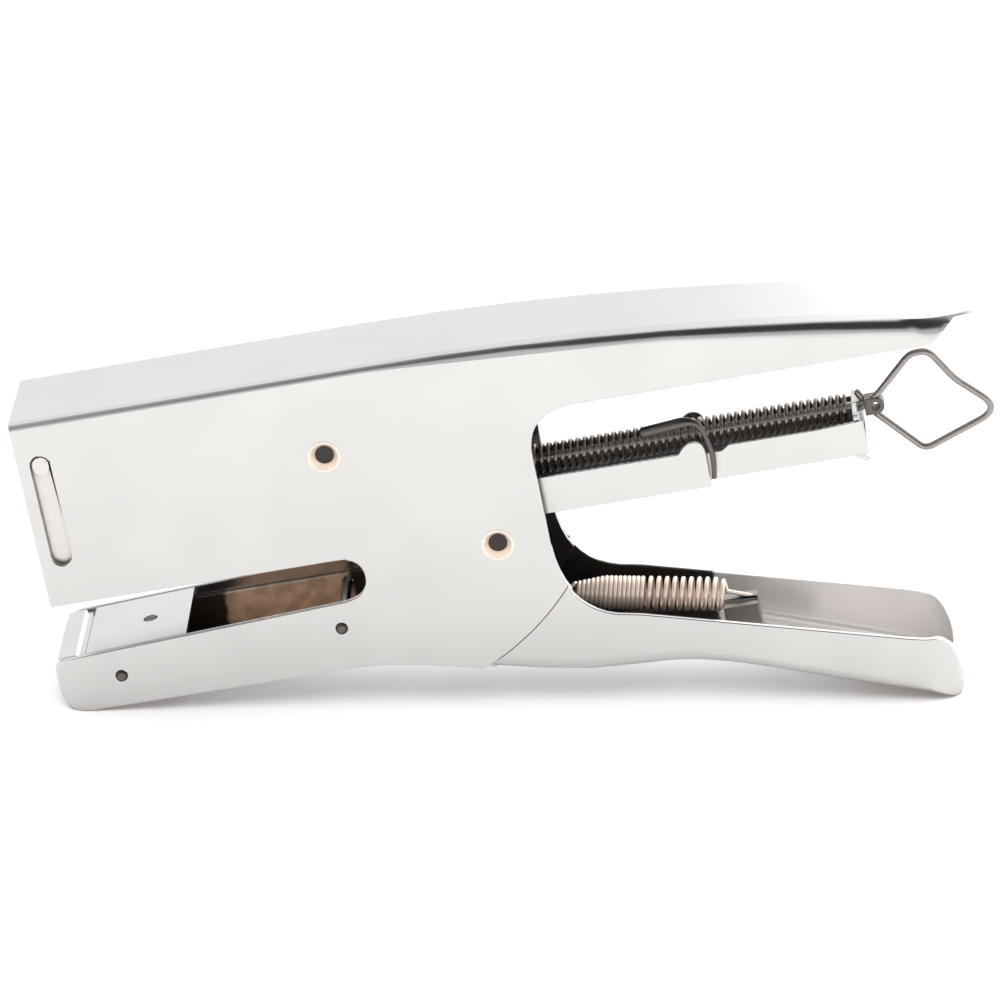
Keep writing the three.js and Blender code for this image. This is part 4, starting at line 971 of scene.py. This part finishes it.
@dataclass
class Coils:
    """The three wire springs."""

    wire: float = 0.4
    steps_per_turn: int = 18
    rod_z: float = 7.3
    follower_ends: tuple[float, float] = (69.4, 139.0)
    follower_radius: float = 2.3
    follower_turns: float = 56.0
    follower_wire: float = 0.36
    pusher_way: float = 12.0
    return_start: Point = (87.6, 0.0, -18.2)
    return_end: Point = (112.6, 0.0, -23.0)
    return_radius: float = 2.6
    neck_radius: float = 1.5
    neck_share: float = 0.45
    close_share: float = 0.456
    close_turns: float = 15.0
    open_turns: float = 10.0
    front_hook: tuple[Point, ...] = ((78.0, 0.0, -20.4), (85.5, 0.0, -18.4), (87.0, 0.0, -17.2))
    rear_hook: tuple[Point, ...] = ((113.4, 0.0, -22.6), (118.0, 0.0, -24.4))
    lift_x: float = 61.0
    lift_ends: tuple[float, float] = (-18.3, -0.6)
    lift_radius: float = 2.0
    lift_turns: float = 9.0
    lift_way: float = 2.3

    def build(self) -> None:
        """Builds the springs."""
        self.build_follower()
        self.build_return()
        self.build_lift()

    def helix(self, start: Vector, end: Vector, radius: Callable[[float], float],
              turns: float) -> list[Vector]:
        """Points of a helix between two places in the plane y = 0.

        Args:
            start: where it begins.
            end: where it ends.
            radius: the coil's radius at each share of its turns.
            turns: how often it goes round.

        Returns:
            The points.
        """
        axis = end - start
        across = Vector((0, 1, 0))
        up = axis.cross(across).normalized()
        steps = int(turns * self.steps_per_turn)
        points = []
        for i in range(steps + 1):
            share = i / steps
            a = 2 * math.pi * turns * share
            r = radius(share)
            points.append(start + axis * share + across * r * math.sin(a) + up * r * math.cos(a))
        return points

    def build_follower(self) -> None:
        """Builds the long spring that pushes the staples, round the drawer's rod."""
        start, end = (Vector((x, 0, self.rod_z)) for x in self.follower_ends)
        path = self.helix(start, end, lambda _share: self.follower_radius, self.follower_turns)
        mesh = settle(mesh_from(sweep(path, self.follower_wire, 6), "follower_coil"), 60.0)
        coil = show("follower_coil", mesh, SPRING_WIRE, "drawer", ["follower_spring"])
        tuple(AXES.at(*end))
        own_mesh(coil)

    def build_return(self) -> None:
        """Builds the spring in the lower handle: a close front, an open rear and a hook at each end."""
        start, end = Vector(self.return_start), Vector(self.return_end)
        middle = start.lerp(end, self.close_share)
        close = self.helix(start, middle, self.swelling, self.close_turns)
        open_part = self.helix(middle, end, lambda _share: self.return_radius, self.open_turns)
        front, rear = ([Vector(p) for p in hook] for hook in (self.front_hook, self.rear_hook))
        path = [*front, *close, *open_part[1:], *rear]
        mesh = settle(mesh_from(sweep(path, self.wire, 8), "return_coil"), 60.0)
        coil = show("return_coil", mesh, RETURN_WIRE, None, ["return_spring"])
        bend_from, bend_to = (tuple(AXES.at(*place)) for place in (front[0], middle))
        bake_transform(coil)

    def swelling(self, share: float) -> float:
        """The radius of the close-wound part, which grows from its front end."""
        grown = min(1.0, share / self.neck_share)
        return self.neck_radius + (self.return_radius - self.neck_radius) * grown

    def build_lift(self) -> None:
        """Builds the small upright spring ahead of the magazine's pivot."""
        low, high = (Vector((self.lift_x, 0, z)) for z in self.lift_ends)
        path = self.helix(low, high, lambda _share: self.lift_radius, self.lift_turns)
        mesh = settle(mesh_from(sweep(path, self.wire, 8), "lift_coil"), 60.0)
        coil = show("lift_coil", mesh, SPRING_WIRE, "body", ["lift_spring"])
        tuple(AXES.at(*low))
        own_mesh(coil)


@dataclass
class PullRing:
    """The bent wire ring at the tail, with the crossing ends that hold it in the rod's head."""

    wire: float = 0.6
    spread: float = 0.75
    corners: tuple[Corner, ...] = (
        (141.4, 7.2, 0.0), (144.4, 8.9, 1.6), (151.0, 15.3, 1.3),
        (154.2, 15.3, 1.5), (158.0, 9.2, 1.6), (164.9, 2.6, 4.4),
        (151.0, -2.6, 1.5), (143.0, 6.2, 1.5), (141.2, 9.6, 0.0))

    def build(self) -> None:
        """Builds the ring."""
        path = rounded(self.corners)
        last = len(path) - 1
        points = [Vector((x, self.spread * (2 * i / last - 1), z)) for i, (x, z) in enumerate(path)]
        mesh = settle(mesh_from(sweep(points, self.wire, 14), "wire_ring"), 60.0)
        show("wire_ring", mesh, RING_WIRE, "ring", ["pull_ring"])


# ---- studio ----------------------------------------------------------------------------------------------


@dataclass(frozen=True)
class Studio:
    """Floor, lamps, surroundings and camera."""

    target: Point = (0.0, 0.0, 0.0363)
    distance: float = 0.9479
    azimuth: float = 1.99
    elevation: float = 22.71
    roll: float = -1.43
    lens: float = 199.9
    shift_x: float = -0.0015
    shift_y: float = -0.0129
    floor_glow: float = 0.12

    def build(self) -> None:
        """Builds the whole studio."""
        self.build_floor()
        self.build_surroundings()
        self.build_lamps()
        self.build_camera()

    def build_floor(self) -> None:
        """Lays a wide plain floor."""
        bm = bmesh.new()
        bmesh.ops.create_grid(bm, x_segments=1, y_segments=1, size=6.0)
        floor = bpy.data.objects.new("floor", mesh_from(bm, "floor", in_tool_axes=False))
        bpy.context.scene.collection.objects.link(floor)
        paper = bpy.data.materials.new("white_paper")
        paper.use_nodes = True
        kit = NodeKit(paper.node_tree)
        shader = kit.node("BsdfPrincipled", Base_Color=(0.94, 0.93, 0.925, 1.0), Roughness=0.7)
        shader.inputs["Specular IOR Level"].default_value = 0.2
        shader.inputs["Emission Color"].default_value = (1.0, 0.985, 0.975, 1.0)
        shader.inputs["Emission Strength"].default_value = self.floor_glow
        kit.node("OutputMaterial", Surface=shader.outputs[0])
        floor.data.materials.append(paper)

    def build_surroundings(self) -> None:
        """Makes a pale room that is dark above the viewer's side, as a studio is behind its camera."""
        world = bpy.data.worlds.new("studio_room")
        world.use_nodes = True
        kit = NodeKit(world.node_tree)
        way = kit.node("SeparateXYZ", Vector=kit.node("TexCoord").outputs["Generated"])
        toward_front = kit.math("MULTIPLY", way.outputs["Y"], -1.0)
        raised = kit.span(way.outputs["Z"], 0.02, 0.12)
        front = kit.math("MULTIPLY", kit.span(toward_front, -0.05, 0.35), raised)
        above = kit.mix(kit.span(way.outputs["X"], -0.34, -0.12), (0.68, 0.67, 0.66), (0.045, 0.04, 0.037))
        ahead = kit.mix(kit.span(way.outputs["Z"], 0.34, 0.52), (0.80, 0.80, 0.80), above)
        behind = kit.mix(kit.span(way.outputs["X"], -0.04, 0.05), (1.32, 1.32, 1.32), (2.0, 2.0, 2.0))
        colour = kit.mix(front, behind, ahead)
        back = kit.node("Background", Color=colour, Strength=1.0)
        kit.node("OutputWorld", Surface=back.outputs[0])
        bpy.context.scene.world = world

    def build_lamps(self) -> None:
        """Hangs a large soft lamp above the tool, a little toward the viewer."""
        self.lamp("overhead", (0.12, -0.45, 0.75), (0.9, 0.5), 4.75)

    def lamp(self, name: str, place: Point, size: tuple[float, float], watts: float) -> None:
        """Adds one soft rectangular lamp that points at the tool."""
        data = bpy.data.lights.new(name, "AREA")
        data.shape = "RECTANGLE"
        data.size, data.size_y = size
        data.energy = watts
        lamp = bpy.data.objects.new(name, data)
        lamp.location = place
        lamp.visible_glossy = False
        lamp.rotation_euler = (Vector(self.target) - Vector(place)).to_track_quat("-Z", "Y").to_euler()
        bpy.context.scene.collection.objects.link(lamp)

    def build_camera(self) -> None:
        """Sets the camera, above the tool's front side and slightly rolled."""
        a, e, roll = (math.radians(v) for v in (self.azimuth, self.elevation, self.roll))
        back = Vector((math.sin(a) * math.cos(e), -math.cos(a) * math.cos(e), math.sin(e)))
        right = Vector((0, 0, 1)).cross(back).normalized()
        up = back.cross(right)
        side = math.cos(roll) * right + math.sin(roll) * up
        top = -math.sin(roll) * right + math.cos(roll) * up
        data = bpy.data.cameras.new("studio_camera")
        data.lens = self.lens
        data.sensor_width = 36.0
        data.shift_x, data.shift_y = self.shift_x, self.shift_y
        data.clip_start, data.clip_end = 0.05, 40.0
        camera = bpy.data.objects.new("studio_camera", data)
        place = Vector(self.target) + back * self.distance
        camera.matrix_world = Matrix([[side[i], top[i], back[i], place[i]] for i in range(3)] + [[0, 0, 0, 1]])
        bpy.context.scene.collection.objects.link(camera)
        bpy.context.scene.camera = camera


def main() -> None:
    """Builds the studio and every sub-assembly in order."""
    logging.basicConfig(level=logging.INFO, format="%(name)s %(message)s")
    bpy.context.scene.view_settings.view_transform = "Standard"
    for assembly in (Studio(), Head(), Pivots(), Lever(), Hammer(), Magazine(), Coils(), PullRing()):
        LOG.info("building %s", type(assembly).__name__)
        assembly.build()


if __name__ == "__main__":
    main()
